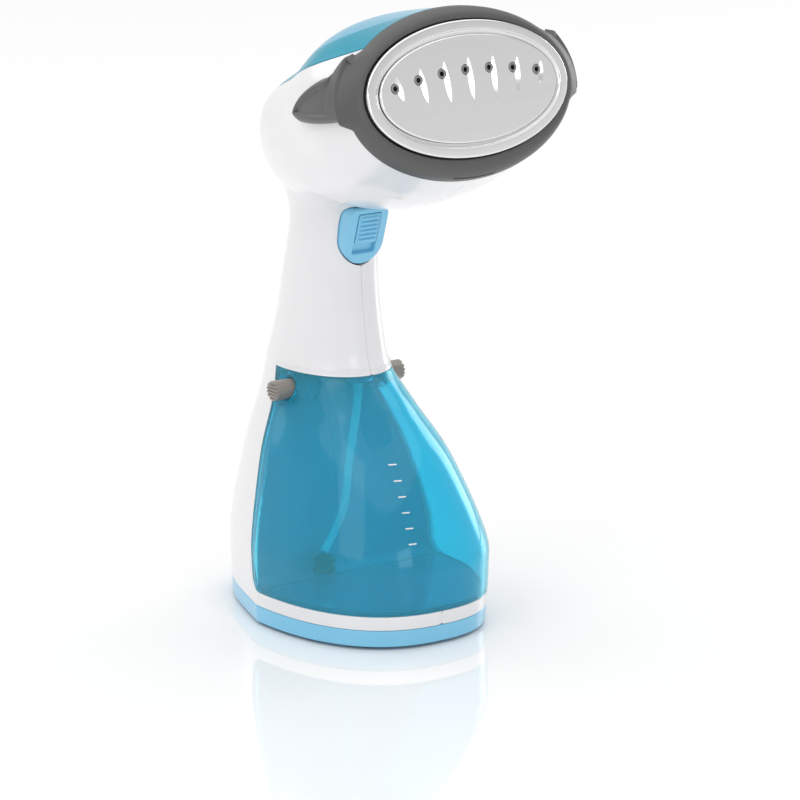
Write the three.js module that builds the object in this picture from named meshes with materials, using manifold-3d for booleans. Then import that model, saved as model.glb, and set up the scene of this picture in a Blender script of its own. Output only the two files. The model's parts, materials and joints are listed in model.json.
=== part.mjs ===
// Handheld garment steamer: a flared water-tank base, a slim grip and a head that leans forward
// behind an oval steam plate. Millimetres, +Z up, front of the object towards -Y.
import * as THREE from 'three';
import { LoftGeometry } from 'three/addons/geometries/LoftGeometry.js';
import { mergeVertices } from 'three/addons/utils/BufferGeometryUtils.js';
import Module from 'manifold-3d';

const wasm = await Module();
wasm.setup();

const { degToRad, smoothstep } = THREE.MathUtils;
const vec = (x, y, z) => new THREE.Vector3(x, y, z);

// ---------------------------------------------------------------- driving dimensions

const GAP = 0.3; // between neighbouring pieces
const WALL = 2.3; // housing wall in the base and the grip
const HEAD_WALL = 3.4; // measured along the slanted sections of the head
const ORIGIN_Y = 0.5; // moves the middle of the overall depth onto the origin

const TRAY = { bottom: 1, top: 8.6, floor: 2.4 };
const TANK = { bottom: 15.3, top: 112, rearLow: 19.5, rearHigh: 37.5, cornerRadius: 8, wall: 2, back: 2 };
const PLATE = { centre: vec(0, -76, 254.3), tilt: degToRad(14.6), halfWidth: 53, halfHeight: 29.6 };
const MOUTH = { behindPlate: 9, below: 1.2, halfWidth: 58.5, halfHeight: 37.8 };
const TRIGGER = { face: vec(0, 0.5, 176), lean: degToRad(17.2), halfWidth: 10.3, pivot: vec(0, 10.5, 166.5) };
const PIN = { radius: 1.5, halfLength: 11.2 };
const BUTTON = { y: 25, z: 104, radius: 4.65, inner: 21.8, outer: 35.4 };
const FILLER = { x: 0, y: 27, capRadius: 7, stemRadius: 5.5 };
const PORT = { x: 0, y: 8, radius: 5 };

// Frame of the steam plate: local X across, local Y up the plate, local Z out of it.
const plateFrame = new THREE.Matrix4()
  .makeRotationX(Math.PI / 2 - PLATE.tilt)
  .setPosition(PLATE.centre);
const onPlate = (x, y, z) => vec(x, y, z).applyMatrix4(plateFrame);

// Cross sections of the outer skin, from the floor up the grip and round into the head. Each one
// spans from a front point to a rear point of the middle plane, given as [y, z]; widest is how far
// back the widest place lies, powers round off the front and the rear, and taper narrows the rear.
const mouthFront = onPlate(0, -MOUTH.below - MOUTH.halfHeight, -MOUTH.behindPlate);
const mouthRear = onPlate(0, -MOUTH.below + MOUTH.halfHeight, -MOUTH.behindPlate);
const SKIN = [
  { front: [-56, 0], rear: [79, 0], halfWidth: 50.5, widest: 0.53, powers: [2.4, 4], taper: 0.4 },
  { front: [-58, 25], rear: [80, 25], halfWidth: 51.5, widest: 0.53, powers: [2.4, 4], taper: 0.4 },
  { front: [-57, 42], rear: [79, 42], halfWidth: 50, widest: 0.54, powers: [2.4, 3.5], taper: 0.36 },
  { front: [-40, 75], rear: [72, 75], halfWidth: 40.5, widest: 0.55, powers: [2.2, 2.8], taper: 0.24 },
  { front: [-20, 97], rear: [68, 97], halfWidth: 30, widest: 0.54, powers: [2.1, 2.3], taper: 0.12 },
  { front: [-3, 112], rear: [65, 112], halfWidth: 25, widest: 0.52, powers: [2.1, 2.2], taper: 0.06 },
  { front: [2, 130], rear: [60, 130], halfWidth: 21.5, widest: 0.5, powers: [2.1, 2.1], taper: 0 },
  { front: [5, 155], rear: [54, 155], halfWidth: 19.5, widest: 0.5, powers: [2.1, 2.1], taper: 0 },
  { front: [4, 180], rear: [48, 180], halfWidth: 19, widest: 0.5, powers: [2.1, 2.1], taper: 0 },
  { front: [-1, 189], rear: [50, 197], halfWidth: 23, widest: 0.5, powers: [2.1, 2.1], taper: 0 },
  { front: [-10, 192.5], rear: [54, 214.5], halfWidth: 33, widest: 0.5, powers: [2.1, 2.1], taper: 0 },
  { front: [-27, 193], rear: [47, 238], halfWidth: 43, widest: 0.5, powers: [2.1, 2.1], taper: 0 },
  { front: [-46, 198], rear: [16, 257], halfWidth: 50, widest: 0.5, powers: [2.1, 2.1], taper: 0 },
  { front: [-62, 205], rear: [-15, 277], halfWidth: 56.5, widest: 0.5, powers: [2.1, 2.1], taper: 0 },
  {
    front: [mouthFront.y, mouthFront.z],
    rear: [mouthRear.y, mouthRear.z],
    halfWidth: MOUTH.halfWidth,
    widest: 0.5,
    powers: [2, 2],
    taper: 0,
  },
];
const ELBOW = [0.6, 0.75]; // share of the way along where the grip turns into the head

const lineThrough = (pick) => new THREE.CatmullRomCurve3(SKIN.map(pick), false, 'catmullrom', 0.5);
const frontLine = lineThrough((s) => vec(0, ...s.front));
const rearLine = lineThrough((s) => vec(0, ...s.rear));
const girthLine = lineThrough((s) => vec(s.halfWidth, s.widest, s.taper));
const powerLine = lineThrough((s) => vec(...s.powers, 0));

// ---------------------------------------------------------------- shape helpers

const AXES = { x: vec(1, 0, 0), y: vec(0, 1, 0), z: vec(0, 0, 1) };

function toSolid(geometry) {
  const bare = new THREE.BufferGeometry();
  bare.setAttribute('position', geometry.attributes.position);
  bare.setIndex(geometry.index);
  const merged = mergeVertices(bare, 1e-4);
  const corners = merged.index.array;
  const triVerts = [];
  for (let i = 0; i < corners.length; i += 3) {
    const [a, b, c] = corners.slice(i, i + 3);
    if (a !== b && b !== c && c !== a) triVerts.push(a, b, c);
  }
  const vertProperties = merged.attributes.position.array;
  const mesh = new wasm.Mesh({ numProp: 3, vertProperties, triVerts: new Uint32Array(triVerts) });
  return new wasm.Manifold(mesh);
}

function toGeometry(solid) {
  const { vertProperties, triVerts } = solid.getMesh();
  const geometry = new THREE.BufferGeometry();
  geometry.setAttribute('position', new THREE.BufferAttribute(new Float32Array(vertProperties), 3));
  geometry.setIndex(new THREE.BufferAttribute(new Uint32Array(triVerts), 1));
  geometry.computeVertexNormals();
  return geometry;
}

const blockGeometry = ([x0, x1], [y0, y1], [z0, z1]) =>
  new THREE.BoxGeometry(x1 - x0, y1 - y0, z1 - z0).translate((x0 + x1) / 2, (y0 + y1) / 2, (z0 + z1) / 2);
const block = (...spans) => toSolid(blockGeometry(...spans));

// A cylinder or cone of the given radii from one point to another.
function rodGeometry(from, to, radius, endRadius = radius, sides = 12) {
  const along = to.clone().sub(from);
  const turn = new THREE.Quaternion().setFromUnitVectors(AXES.y, along.clone().normalize());
  const middle = from.clone().add(to).divideScalar(2);
  return new THREE.CylinderGeometry(endRadius, radius, along.length(), sides)
    .applyQuaternion(turn)
    .translate(...middle.toArray());
}
const rod = (...args) => toSolid(rodGeometry(...args));

// A round piece turned about its own Z axis from a closed [radius, height] profile.
const turned = (profile, sides = 16) =>
  new THREE.LatheGeometry(profile.map(([r, z]) => new THREE.Vector2(r, z)), sides).rotateX(Math.PI / 2);

// An outline drawn in the side view (y, z), run across from x0 to x1.
const acrossBasis = new THREE.Matrix4().makeBasis(AXES.y, AXES.z, AXES.x);
function acrossGeometry(shape, x0, x1, curveSegments = 8) {
  return new THREE.ExtrudeGeometry(shape, { depth: x1 - x0, bevelEnabled: false, curveSegments })
    .applyMatrix4(acrossBasis)
    .translate(x0, 0, 0);
}

// An outline drawn in the front view (x, z), run back from y0 to y1.
const backBasis = new THREE.Matrix4().makeBasis(AXES.x, AXES.z, AXES.y.clone().negate());
function backGeometry(shape, y0, y1, curveSegments = 8) {
  return new THREE.ExtrudeGeometry(shape, { depth: y1 - y0, bevelEnabled: false, curveSegments })
    .applyMatrix4(backBasis)
    .translate(0, y1, 0);
}

const polygon = (points) => new THREE.Shape(points.map(([u, v]) => new THREE.Vector2(u, v)));

// A round tube of constant thickness along a smooth path.
function tube(points, radius, steps, halfSides = 3) {
  const path = new THREE.CatmullRomCurve3(points);
  const section = new THREE.Shape().absarc(0, 0, radius, 0, Math.PI * 2);
  return new THREE.ExtrudeGeometry(section, {
    steps,
    extrudePath: path,
    bevelEnabled: false,
    curveSegments: halfSides,
  });
}

class Helix extends THREE.Curve {
  constructor(radius, length, turns) {
    super();
    Object.assign(this, { radius, length, turns });
  }

  getPoint(t, target = vec()) {
    const angle = t * this.turns * Math.PI * 2;
    return target.set(Math.cos(angle) * this.radius, Math.sin(angle) * this.radius, t * this.length);
  }
}

// A compression spring along its own Z axis, standing between z = 0 and z = length.
function coilSpring(radius, wire, length, turns) {
  const section = new THREE.Shape().absarc(0, 0, wire, 0, Math.PI * 2);
  return new THREE.ExtrudeGeometry(section, {
    steps: turns * 8,
    extrudePath: new Helix(radius, length - wire * 2, turns),
    bevelEnabled: false,
    curveSegments: 2,
  }).translate(0, 0, wire);
}

function skinPoint(along, angle, inset) {
  const front = frontLine.getPoint(along);
  const rear = rearLine.getPoint(along);
  const { x: halfWidth, y: widest, z: taper } = girthLine.getPoint(along);
  const powers = powerLine.getPoint(along);
  const depth = front.distanceTo(rear);
  const forward = Math.cos(angle);
  const sideways = Math.sin(angle);
  const power = forward > 0 ? powers.x : powers.y;
  const reach = (forward > 0 ? widest : 1 - widest) * depth - inset;
  const radius = (Math.abs(sideways) ** power + Math.abs(forward) ** power) ** (-1 / power);
  const rearShare = Math.max(0, -forward * radius);
  const point = front.lerp(rear, widest - (reach * radius * forward) / depth);
  return point.setX((halfWidth - inset) * radius * sideways * (1 - taper * rearShare));
}

// The body of the outer skin, moved inwards by an inset that may change along the way.
function skin(insetAt = () => 0, rings = 28, points = 28) {
  const sections = [];
  for (let ring = 0; ring <= rings; ring++) {
    const along = ring / rings;
    const section = [];
    for (let i = 0; i < points; i++) {
      section.push(skinPoint(along, (i / points) * Math.PI * 2, insetAt(along)));
    }
    sections.push(section);
  }
  return toSolid(new LoftGeometry(sections, { capStart: true, capEnd: true }));
}

// ---------------------------------------------------------------- materials and parts list

const plastic = (color, roughness) => new THREE.MeshStandardMaterial({ color, roughness, metalness: 0 });
const metal = (color, roughness) => new THREE.MeshStandardMaterial({ color, roughness, metalness: 1 });
const tinted = (color, opacity) =>
  new THREE.MeshStandardMaterial({ color, roughness: 0.06, metalness: 0, transparent: true, opacity });

const whiteGloss = plastic(0xeeecf0, 0.18);
const skyGloss = plastic(0x9dcbe6, 0.2);
const tealGloss = plastic(0x62b6cc, 0.15);
const darkGrey = plastic(0x5f5f5f, 0.45);
const tankTint = tinted(0x62b0d4, 0.55);
const buttonGrey = plastic(0x786c64, 0.3);
const rubber = plastic(0x2c2c2e, 0.8);
const paleHose = plastic(0xdfe6ea, 0.4);
const greyHose = plastic(0x8f9498, 0.5);
const redLead = plastic(0xb03a34, 0.5);
const blueLead = plastic(0x3a62a8, 0.5);
const polishedSteel = metal(0xd6d7da, 0.14);
const springSteel = metal(0xb5b7ba, 0.3);
const castAluminium = metal(0x9c9fa3, 0.55);
const blackPlastic = plastic(0x232426, 0.4);

const model = new THREE.Group();
model.position.y = ORIGIN_Y;

function group(parent = model) {
  const child = new THREE.Group();
  parent.add(child);
  return child;
}

function add(name, shape, material, parent = model) {
  const geometry = shape instanceof THREE.BufferGeometry ? shape : toGeometry(shape);
  const mesh = new THREE.Mesh(geometry, material);
  mesh.name = name;
  parent.add(mesh);
  return mesh;
}

// ---------------------------------------------------------------- zones shared by several pieces

const WIDE = 90; // beyond both sides of the object
const TALL = 330; // above its top
const headWall = (along) => WALL + (HEAD_WALL - WALL) * smoothstep(along, ...ELBOW);
const beyondMouth = toSolid(
  blockGeometry([-WIDE, WIDE], [-WIDE, WIDE], [-MOUTH.behindPlate - 0.1, 60]).applyMatrix4(plateFrame),
);
const outerSkin = skin().subtract(beyondMouth);
const innerSkin = skin(headWall, 24, 16);

// Rear face of the tank in the side view: nearly upright low down, leaning back higher up.
function tankRear(z) {
  const share = Math.max(0, (z - TANK.bottom) / (TANK.top - TANK.bottom));
  return TANK.rearLow + (TANK.rearHigh - TANK.rearLow) * share ** 1.3;
}

// The tank's place in the side view, grown or shrunk at its bottom, top and rear.
function tankZone(bottom, top, rear) {
  const low = TANK.bottom - bottom;
  const high = TANK.top + top;
  const corner = TANK.cornerRadius + bottom;
  const outline = new THREE.Shape();
  outline.moveTo(-WIDE, low);
  const back = tankRear(low + corner) + rear;
  outline.lineTo(back - corner, low);
  outline.quadraticCurveTo(back, low, back, low + corner);
  for (let step = 1; step <= 6; step++) {
    const z = low + corner + ((high - low - corner) * step) / 6;
    outline.lineTo(tankRear(z) + rear, z);
  }
  outline.lineTo(-WIDE, high);
  return toSolid(acrossGeometry(outline, -WIDE, WIDE, 5));
}

// The top cover's place: everything above a line that climbs towards the front of the head.
const coverLine = (y) => 252.6 - 0.354 * y;
function coverZone(lower) {
  const rear = 60;
  const points = [
    [-WIDE, coverLine(-WIDE) - lower], [rear, coverLine(rear) - lower], [rear, TALL], [-WIDE, TALL],
  ];
  return toSolid(acrossGeometry(polygon(points), -WIDE, WIDE));
}

// ---------------------------------------------------------------- base tray, feet and screws

const SIDES = { left: -1, right: 1 };
const FEET = [[-30, -33], [30, -33], [-20, 64], [20, 64]];
const FRONT_SCREWS = [[-36, 2], [36, 2]];
const REAR_SCREWS = [[-29.5, 48], [29.5, 48]];
const FOOT = { radius: 5, height: 2 };
const SCREW = { head: 3.4, shank: 1.5, length: 11 };

function baseTray() {
  let tray = outerSkin.intersect(block([-WIDE, WIDE], [-WIDE, WIDE], [TRAY.bottom, TRAY.top]));
  const floor = TRAY.bottom + TRAY.floor;
  tray = tray.subtract(innerSkin.intersect(block([-WIDE, WIDE], [-WIDE, WIDE], [floor, TRAY.top + 1])));
  for (const [x, y] of [...FRONT_SCREWS, ...REAR_SCREWS]) {
    tray = tray.add(rod(vec(x, y, floor - 0.5), vec(x, y, TRAY.top - 0.2), 4.6));
  }
  for (const [x, y] of [...FRONT_SCREWS, ...REAR_SCREWS]) {
    tray = tray.subtract(rod(vec(x, y, 0), vec(x, y, 4.2), SCREW.head + 0.5));
    tray = tray.subtract(rod(vec(x, y, 0), vec(x, y, TRAY.top + 1), SCREW.shank + GAP));
  }
  for (const [x, y] of FEET) {
    tray = tray.subtract(rod(vec(x, y, 0), vec(x, y, FOOT.height + GAP), FOOT.radius + GAP));
  }
  return tray;
}

add('base_tray', baseTray(), skyGloss);

FEET.forEach(([x, y], index) => {
  const { radius, height } = FOOT;
  const profile = [[0, 0], [radius - 0.6, 0], [radius, 0.6], [radius, height], [0, height]];
  add(`foot_${index + 1}`, turned(profile, 16), rubber).position.set(x, y, 0);
});

// A pan-head screw standing on its head, shank up.
function screwGeometry(length) {
  const { head, shank } = SCREW;
  const headHeight = 1.8;
  const profile = [
    [0, 0], [head - 0.5, 0], [head, 0.6], [head, headHeight],
    [shank, headHeight], [shank, length], [0, length],
  ];
  return turned(profile, 12);
}

[...FRONT_SCREWS, ...REAR_SCREWS].forEach(([x, y], index) => {
  add(`base_screw_${index + 1}`, screwGeometry(SCREW.length), springSteel).position.set(x, y, 2.2);
});

// ---------------------------------------------------------------- housing halves

// Outline of the trigger in the front view, with a rounded lower end.
function triggerOutline(margin) {
  const halfWidth = TRIGGER.halfWidth + margin;
  const outline = new THREE.Shape();
  outline.moveTo(halfWidth - 1.5, 13 + margin);
  outline.lineTo(-halfWidth + 1.5, 13 + margin);
  outline.lineTo(-halfWidth, 11 + margin);
  outline.absellipse(0, -5, halfWidth, 10 + margin, Math.PI, Math.PI * 2);
  outline.lineTo(halfWidth, 11 + margin);
  return outline;
}

const HOUSING_SCREWS = [[62, 30], [30, 150], [-14, 220]];
const PLUG_RELIEF = 9; // radius of the ceiling hole above the filler plug

function housing() {
  const roomInside = innerSkin.subtract(tankZone(WALL + GAP, WALL + GAP, WALL + GAP));
  let body = outerSkin.subtract(block([-WIDE, WIDE], [-WIDE, WIDE], [-1, TRAY.top + GAP]));
  body = body.subtract(roomInside);
  body = body.subtract(tankZone(GAP - 0.1, GAP - 0.1, GAP - 0.1));
  body = body.subtract(coverZone(GAP));
  // bosses for the screws that hold the tray
  for (const [x, y] of FRONT_SCREWS) {
    body = body.add(rod(vec(x, y, TRAY.top + GAP), vec(x, y, TANK.bottom - GAP - 0.2), 4.6));
  }
  for (const [x, y] of REAR_SCREWS) {
    const post = rod(vec(x, y, TRAY.top + GAP), vec(x, y, 24), 4.6);
    const webSpan = [x, x * 1.3].sort((a, b) => a - b);
    const web = block(webSpan, [y - 1, y + 1], [TRAY.top + GAP, 24]);
    body = body.add(post.add(web).intersect(outerSkin));
  }
  for (const [x, y] of [...FRONT_SCREWS, ...REAR_SCREWS]) {
    body = body.subtract(rod(vec(x, y, 0), vec(x, y, 2.2 + SCREW.length + 0.3), SCREW.shank + GAP));
  }
  // rib behind the trigger that carries its spring and the switch
  const rib = block([-18, 18], [17.5, 19.5], [168, 190]).intersect(outerSkin);
  body = body.add(rib.subtract(block([-2, 2], [15, 21], [182.5, 187.5])));
  // bosses for the trigger's pin, then the slot for the trigger
  const { y: pivotY, z: pivotZ } = TRIGGER.pivot;
  for (const side of Object.values(SIDES)) {
    const boss = rod(vec(side * 8.6, pivotY, pivotZ), vec(side * 17, pivotY, pivotZ), 3.2);
    body = body.add(boss.intersect(outerSkin));
  }
  const slot = backGeometry(triggerOutline(0.6), -12, 13.5)
    .rotateX(TRIGGER.lean)
    .translate(...TRIGGER.face.toArray());
  body = body.subtract(toSolid(slot).intersect(block([-WIDE, WIDE], [-WIDE, 17], [150, 190.4])));
  body = body.subtract(rod(vec(-11.5, pivotY, pivotZ), vec(11.5, pivotY, pivotZ), PIN.radius + GAP));
  // openings in the ceiling over the tank, for the plug's lift and for the water coupling
  body = body.subtract(rod(vec(FILLER.x, FILLER.y, 108), vec(FILLER.x, FILLER.y, 116), PLUG_RELIEF));
  body = body.subtract(rod(vec(PORT.x, PORT.y, 108), vec(PORT.x, PORT.y, 116), PORT.radius + 1.2));
  // cord inlet low at the rear
  body = body.subtract(rod(vec(0, 60, 26), vec(0, 90, 26), 6.3));
  return body;
}

// Screw posts that join the halves: a sunk head on the right, a plain post on the left.
function withScrewPosts(half, side) {
  let shape = half;
  for (const [y, z] of HOUSING_SCREWS) {
    const at = (x) => vec(x, y, z);
    const post = rod(at(side * GAP * 0.5), at(side * WIDE), 4.4).intersect(outerSkin);
    shape = shape.add(post);
    if (side > 0) {
      shape = shape.subtract(rod(at(9), at(WIDE), SCREW.head + 0.5));
      shape = shape.subtract(rod(at(0), at(WIDE), SCREW.shank + GAP));
    } else {
      shape = shape.subtract(rod(at(-6), at(0), SCREW.shank + GAP));
    }
  }
  return shape;
}

const wholeHousing = housing();
for (const [name, side] of Object.entries(SIDES)) {
  const span = side < 0 ? [-WIDE, -GAP / 2] : [GAP / 2, WIDE];
  const half = wholeHousing.intersect(block(span, [-WIDE, WIDE], [0, TALL]));
  add(`${name}_housing`, withScrewPosts(half, side), whiteGloss);
}

HOUSING_SCREWS.forEach(([y, z], index) => {
  const screw = add(`housing_screw_${index + 1}`, screwGeometry(14), springSteel);
  screw.rotation.y = -Math.PI / 2;
  screw.position.set(9 + 2.2, y, z);
});

add('top_cover', outerSkin.intersect(coverZone(0)).subtract(innerSkin), tealGloss);

const glandProfile = [[3, 0], [6, 0], [6, 9.4], [7.6, 9.4], [7.2, 11.4], [3.8, 11.4], [3, 10.6], [3, 0]];
const gland = add('cord_gland', turned(glandProfile, 20), rubber);
gland.rotation.x = -Math.PI / 2;
gland.position.set(0, 70.9, 26);

// ---------------------------------------------------------------- water tank

const pillar = (x, y, z0, z1, radius) => rod(vec(x, y, z0), vec(x, y, z1), radius);

function tankShell() {
  const hollow = skin(() => TANK.wall, 26, 16).intersect(tankZone(-TANK.wall, -TANK.wall, WALL));
  const inside = outerSkin.intersect(tankZone(0, 0, -TANK.back - GAP));
  let shell = inside.subtract(hollow);
  for (const side of Object.values(SIDES)) {
    const at = (x) => vec(side * x, BUTTON.y, BUTTON.z);
    shell = shell.add(rod(at(12.6), at(40), BUTTON.radius + 2.4).intersect(inside));
    shell = shell.subtract(rod(at(14.4), at(22.2), BUTTON.radius + 1.4));
    shell = shell.subtract(rod(at(14.4), at(45), BUTTON.radius + 0.4));
  }
  shell = shell.add(pillar(FILLER.x, FILLER.y, 105.5, TANK.top, FILLER.capRadius + 2).intersect(inside));
  shell = shell.subtract(pillar(FILLER.x, FILLER.y, 109.1, TANK.top + 1, FILLER.capRadius + 0.4));
  shell = shell.subtract(pillar(FILLER.x, FILLER.y, 100, TANK.top + 1, FILLER.stemRadius + 0.3));
  shell = shell.add(pillar(PORT.x, PORT.y, 107.5, TANK.top, PORT.radius + 2).intersect(inside));
  shell = shell.subtract(pillar(PORT.x, PORT.y, 100, TANK.top + 1, PORT.radius + 0.3));
  return shell;
}
add('tank_shell', tankShell(), tankTint);

const tankBack = outerSkin.intersect(tankZone(0, 0, 0)).subtract(tankZone(WALL, WALL, -TANK.back));
add('tank_back', tankBack, tankTint);

const plugProfile = [
  [0, 0], [4.6, 0], [FILLER.stemRadius, 1], [FILLER.stemRadius, 5.4], [FILLER.capRadius, 5.4],
  [FILLER.capRadius, 7.8], [4.2, 7.8], [3.6, 6.6], [0, 6.6],
];
add('filler_plug', turned(plugProfile, 20), rubber).position.set(FILLER.x, FILLER.y, 104);

const valveProfile = [
  [0, 0], [2, 0], [2, 4.6], [PORT.radius, 4.6], [PORT.radius, 9.8], [2.4, 9.8], [1.6, 8.6], [0, 8.6],
];
add('tank_valve', turned(valveProfile), paleHose).position.set(PORT.x, PORT.y, 102);

const sealProfile = [[2.2, 0], [4.6, 0], [5.9, 0.8], [5.9, 3.4], [2.2, 3.4], [2.2, 0]];
add('coupling_seal', turned(sealProfile), rubber).position.set(PORT.x, PORT.y, TANK.top + 0.5);

const FILTER = vec(-17, 10.5, 24);
const suctionPath = [
  vec(PORT.x, PORT.y, 101.7), vec(-1, 8, 92), vec(-5, 8, 70), vec(-7, 9, 50), vec(-11, 11.5, 37),
  vec(FILTER.x, FILTER.y, FILTER.z + 5.2),
];
add('suction_hose', tube(suctionPath, 1.9, 18, 4), paleHose);

const filterProfile = [
  [0, 0], [4.6, 0], [5.2, 1], [5.2, 2.6], [4.4, 3.2],
  [4.4, 5.2], [5.2, 5.8], [5.2, 7.2], [2.6, 8.4], [0, 8.4],
];
const filter = add('suction_filter', turned(filterProfile), blackPlastic);
filter.position.set(FILTER.x, FILTER.y, FILTER.z - 4.6);

// ---------------------------------------------------------------- tank release buttons

for (const [name, side] of Object.entries(SIDES)) {
  const { radius, inner, outer, y, z } = BUTTON;
  const length = outer - inner;
  const profile = [
    [0, -2], [radius + 0.95, -2], [radius + 0.95, 0], [radius, 0], [radius, length - 0.8],
    [radius - 0.8, length], [0, length],
  ];
  let cap = toSolid(turned(profile, 20));
  for (let groove = -2; groove <= 2; groove++) {
    const x = groove * 1.5;
    cap = cap.subtract(block([x - 0.35, x + 0.35], [-6, 6], [length - 0.6, length + 1]));
  }
  const button = add(`release_button_${name}`, cap, buttonGrey);
  button.rotation.y = (side * Math.PI) / 2;
  button.position.set(side * inner, y, z);
  const spring = add(`release_spring_${name}`, coilSpring(3.4, 0.3, 4.8, 2), springSteel);
  spring.rotation.y = (side * Math.PI) / 2;
  spring.position.set(side * 14.7, y, z);
}

// ---------------------------------------------------------------- trigger and its lock

const triggerGroup = group();
triggerGroup.position.copy(TRIGGER.face);
triggerGroup.rotation.x = TRIGGER.lean;
const triggerDepth = 10;
const lockSlot = { halfWidth: 6, low: -9.5, high: 10.5, depth: 2.6 };

function triggerBody() {
  let body = toSolid(backGeometry(triggerOutline(0), 0, triggerDepth, 12));
  const above = blockGeometry([-20, 20], [-20, 30], [12.6, 40]).rotateX(-TRIGGER.lean);
  body = body.subtract(toSolid(above));
  const { halfWidth, low, high, depth } = lockSlot;
  body = body.subtract(block([-halfWidth, halfWidth], [-1, depth], [low, high]));
  body = body.subtract(block([-2, 2], [0, triggerDepth + 1], [-3.8, 5.2]));
  const pivot = TRIGGER.pivot.clone().sub(TRIGGER.face).applyAxisAngle(AXES.x, -TRIGGER.lean);
  return body.subtract(rod(vec(-15, pivot.y, pivot.z), vec(15, pivot.y, pivot.z), PIN.radius + GAP));
}
add('trigger', triggerBody(), skyGloss, triggerGroup);

function lockSlider() {
  const { halfWidth, high, depth } = lockSlot;
  const pad = { low: -3.4, high: high - GAP, face: -0.2 };
  const across = [-halfWidth + GAP, halfWidth - GAP];
  let slider = block(across, [pad.face, depth - GAP], [pad.low, pad.high]);
  const ribPitch = (pad.high - pad.low - 1.4) / 6;
  for (let rib = 0; rib < 6; rib++) {
    const z = pad.low + 0.9 + ribPitch * (rib + 0.25);
    slider = slider.add(block([-4.8, 4.8], [pad.face - 0.8, pad.face + 0.5], [z, z + ribPitch * 0.5]));
  }
  return slider.add(block([-1.6, 1.6], [depth - 1, triggerDepth + 0.5], [1.4, 4.6]));
}
add('trigger_lock', lockSlider(), skyGloss, triggerGroup);

const pinEnd = (side) => vec(side * PIN.halfLength, TRIGGER.pivot.y, TRIGGER.pivot.z);
add('trigger_pin', rodGeometry(pinEnd(SIDES.left), pinEnd(SIDES.right), PIN.radius), springSteel);

const triggerSpring = add('trigger_spring', coilSpring(2.6, 0.4, 5.6, 4), springSteel);
triggerSpring.rotation.x = -Math.PI / 2;
triggerSpring.position.set(0, 11.8, 177);

// ---------------------------------------------------------------- inside the grip and the column

const switchBody = block([-3.2, 3.2], [19.8, 28], [170, 190])
  .add(rod(vec(0, 20, 185), vec(0, 11.2, 185), 1.3))
  .add(block([-0.4, 0.4], [27, 32], [173, 176]))
  .add(block([-0.4, 0.4], [27, 32], [184, 187]));
add('micro_switch', switchBody, blackPlastic);

const PUMP = { y: 54, low: 36, high: 80 };
const pumpBody = rod(vec(0, PUMP.y, PUMP.low), vec(0, PUMP.y, PUMP.high), 8)
  .add(block([-11, 11], [PUMP.y - 10, PUMP.y + 10], [40, 62]))
  .add(rod(vec(0, PUMP.y, PUMP.high - 1), vec(0, PUMP.y, PUMP.high + 5), 2.4, 2, 16))
  .add(rod(vec(5.2, PUMP.y + 3, PUMP.high - 1), vec(5.2, PUMP.y + 3, PUMP.high + 3), 2, 1.8, 16));
add('pump', pumpBody, blackPlastic);

const inletPath = [
  vec(PORT.x, PORT.y, TANK.top + 4.5), vec(0, 9, 122), vec(0, 22, 128), vec(0, 38, 126), vec(0, 48, 116),
  vec(0, 52, 100), vec(0, PUMP.y, PUMP.high + 5.4),
];
add('pump_inlet_hose', tube(inletPath, 2.4, 20, 4), paleHose);

const feedPath = [
  vec(5.2, PUMP.y + 3, PUMP.high + 3.4), vec(7, 57, 92), vec(10, 53, 115), vec(11, 42, 140), vec(10, 38, 170),
  vec(10, 34, 196), vec(8, 16, 222), vec(4, -14, 238), vec(0, -36, 243), onPlate(0, -4, -17.4),
];
add('steam_feed_hose', tube(feedPath, 2.4, 30, 4), greyHose);

const supplyPath = [
  vec(-1, 69, 24), vec(-8, 67.6, 32), vec(-14, 65, 46), vec(-15.5, 60, 70), vec(-12, 54, 100),
  vec(-11, 42, 130), vec(-10, 36, 155), vec(-5, 35, 168), vec(0, 34, 174.5),
];
add('supply_lead', tube(supplyPath, 1.2, 26), redLead);

const heaterPath = [
  vec(0, 34, 185.5), vec(-8, 34, 196), vec(-12, 20, 220), vec(-20, -10, 240), vec(-24, -34, 246),
  onPlate(-26, 2, -26),
];
add('heater_lead', tube(heaterPath, 1.2, 20), blueLead);

// ---------------------------------------------------------------- steam head, in the plate's frame

const head = group();
head.applyMatrix4(plateFrame);

function ovalSection(halfWidth, halfHeight, z, y = 0, points = 32) {
  const section = [];
  for (let i = 0; i < points; i++) {
    const angle = (i / points) * Math.PI * 2;
    section.push(vec(Math.cos(angle) * halfWidth, y + Math.sin(angle) * halfHeight, z));
  }
  return section;
}

const inWorld = (solid) => toSolid(toGeometry(solid).applyMatrix4(plateFrame));

// Sections are [half width, half height, z, y] from the rear to the front.
const ovalStack = (sections, points) =>
  toSolid(new LoftGeometry(sections.map((s) => ovalSection(...s, points)), { capStart: true, capEnd: true }));

const NOZZLES = [-3, -2, -1, 0, 1, 2, 3];
const NOZZLE_PITCH = 12.5;
const nozzleX = (index) => index * NOZZLE_PITCH - 1;
const nozzleY = (index) => 8.2 - 0.0029 * nozzleX(index) ** 2;
const FACE = 1; // how far the plate's inner panel stands out

// Outline of the leaf-shaped groove beside a steam hole; it leans with its distance from the middle.
function leafOutline(index) {
  const x = index * NOZZLE_PITCH + 1.2;
  const top = 13.9 - 0.0038 * x * x;
  const bottom = -5.3 + 0.0027 * x * x;
  const lean = (y) => x * (1 + 0.0045 * (y - 4));
  const middle = (top + bottom) / 2;
  const outline = new THREE.Shape();
  outline.moveTo(lean(bottom), bottom);
  outline.quadraticCurveTo(lean(middle) + 2.3, middle, lean(top), top);
  outline.quadraticCurveTo(lean(middle) - 2.3, middle, lean(bottom), bottom);
  return outline;
}

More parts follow.
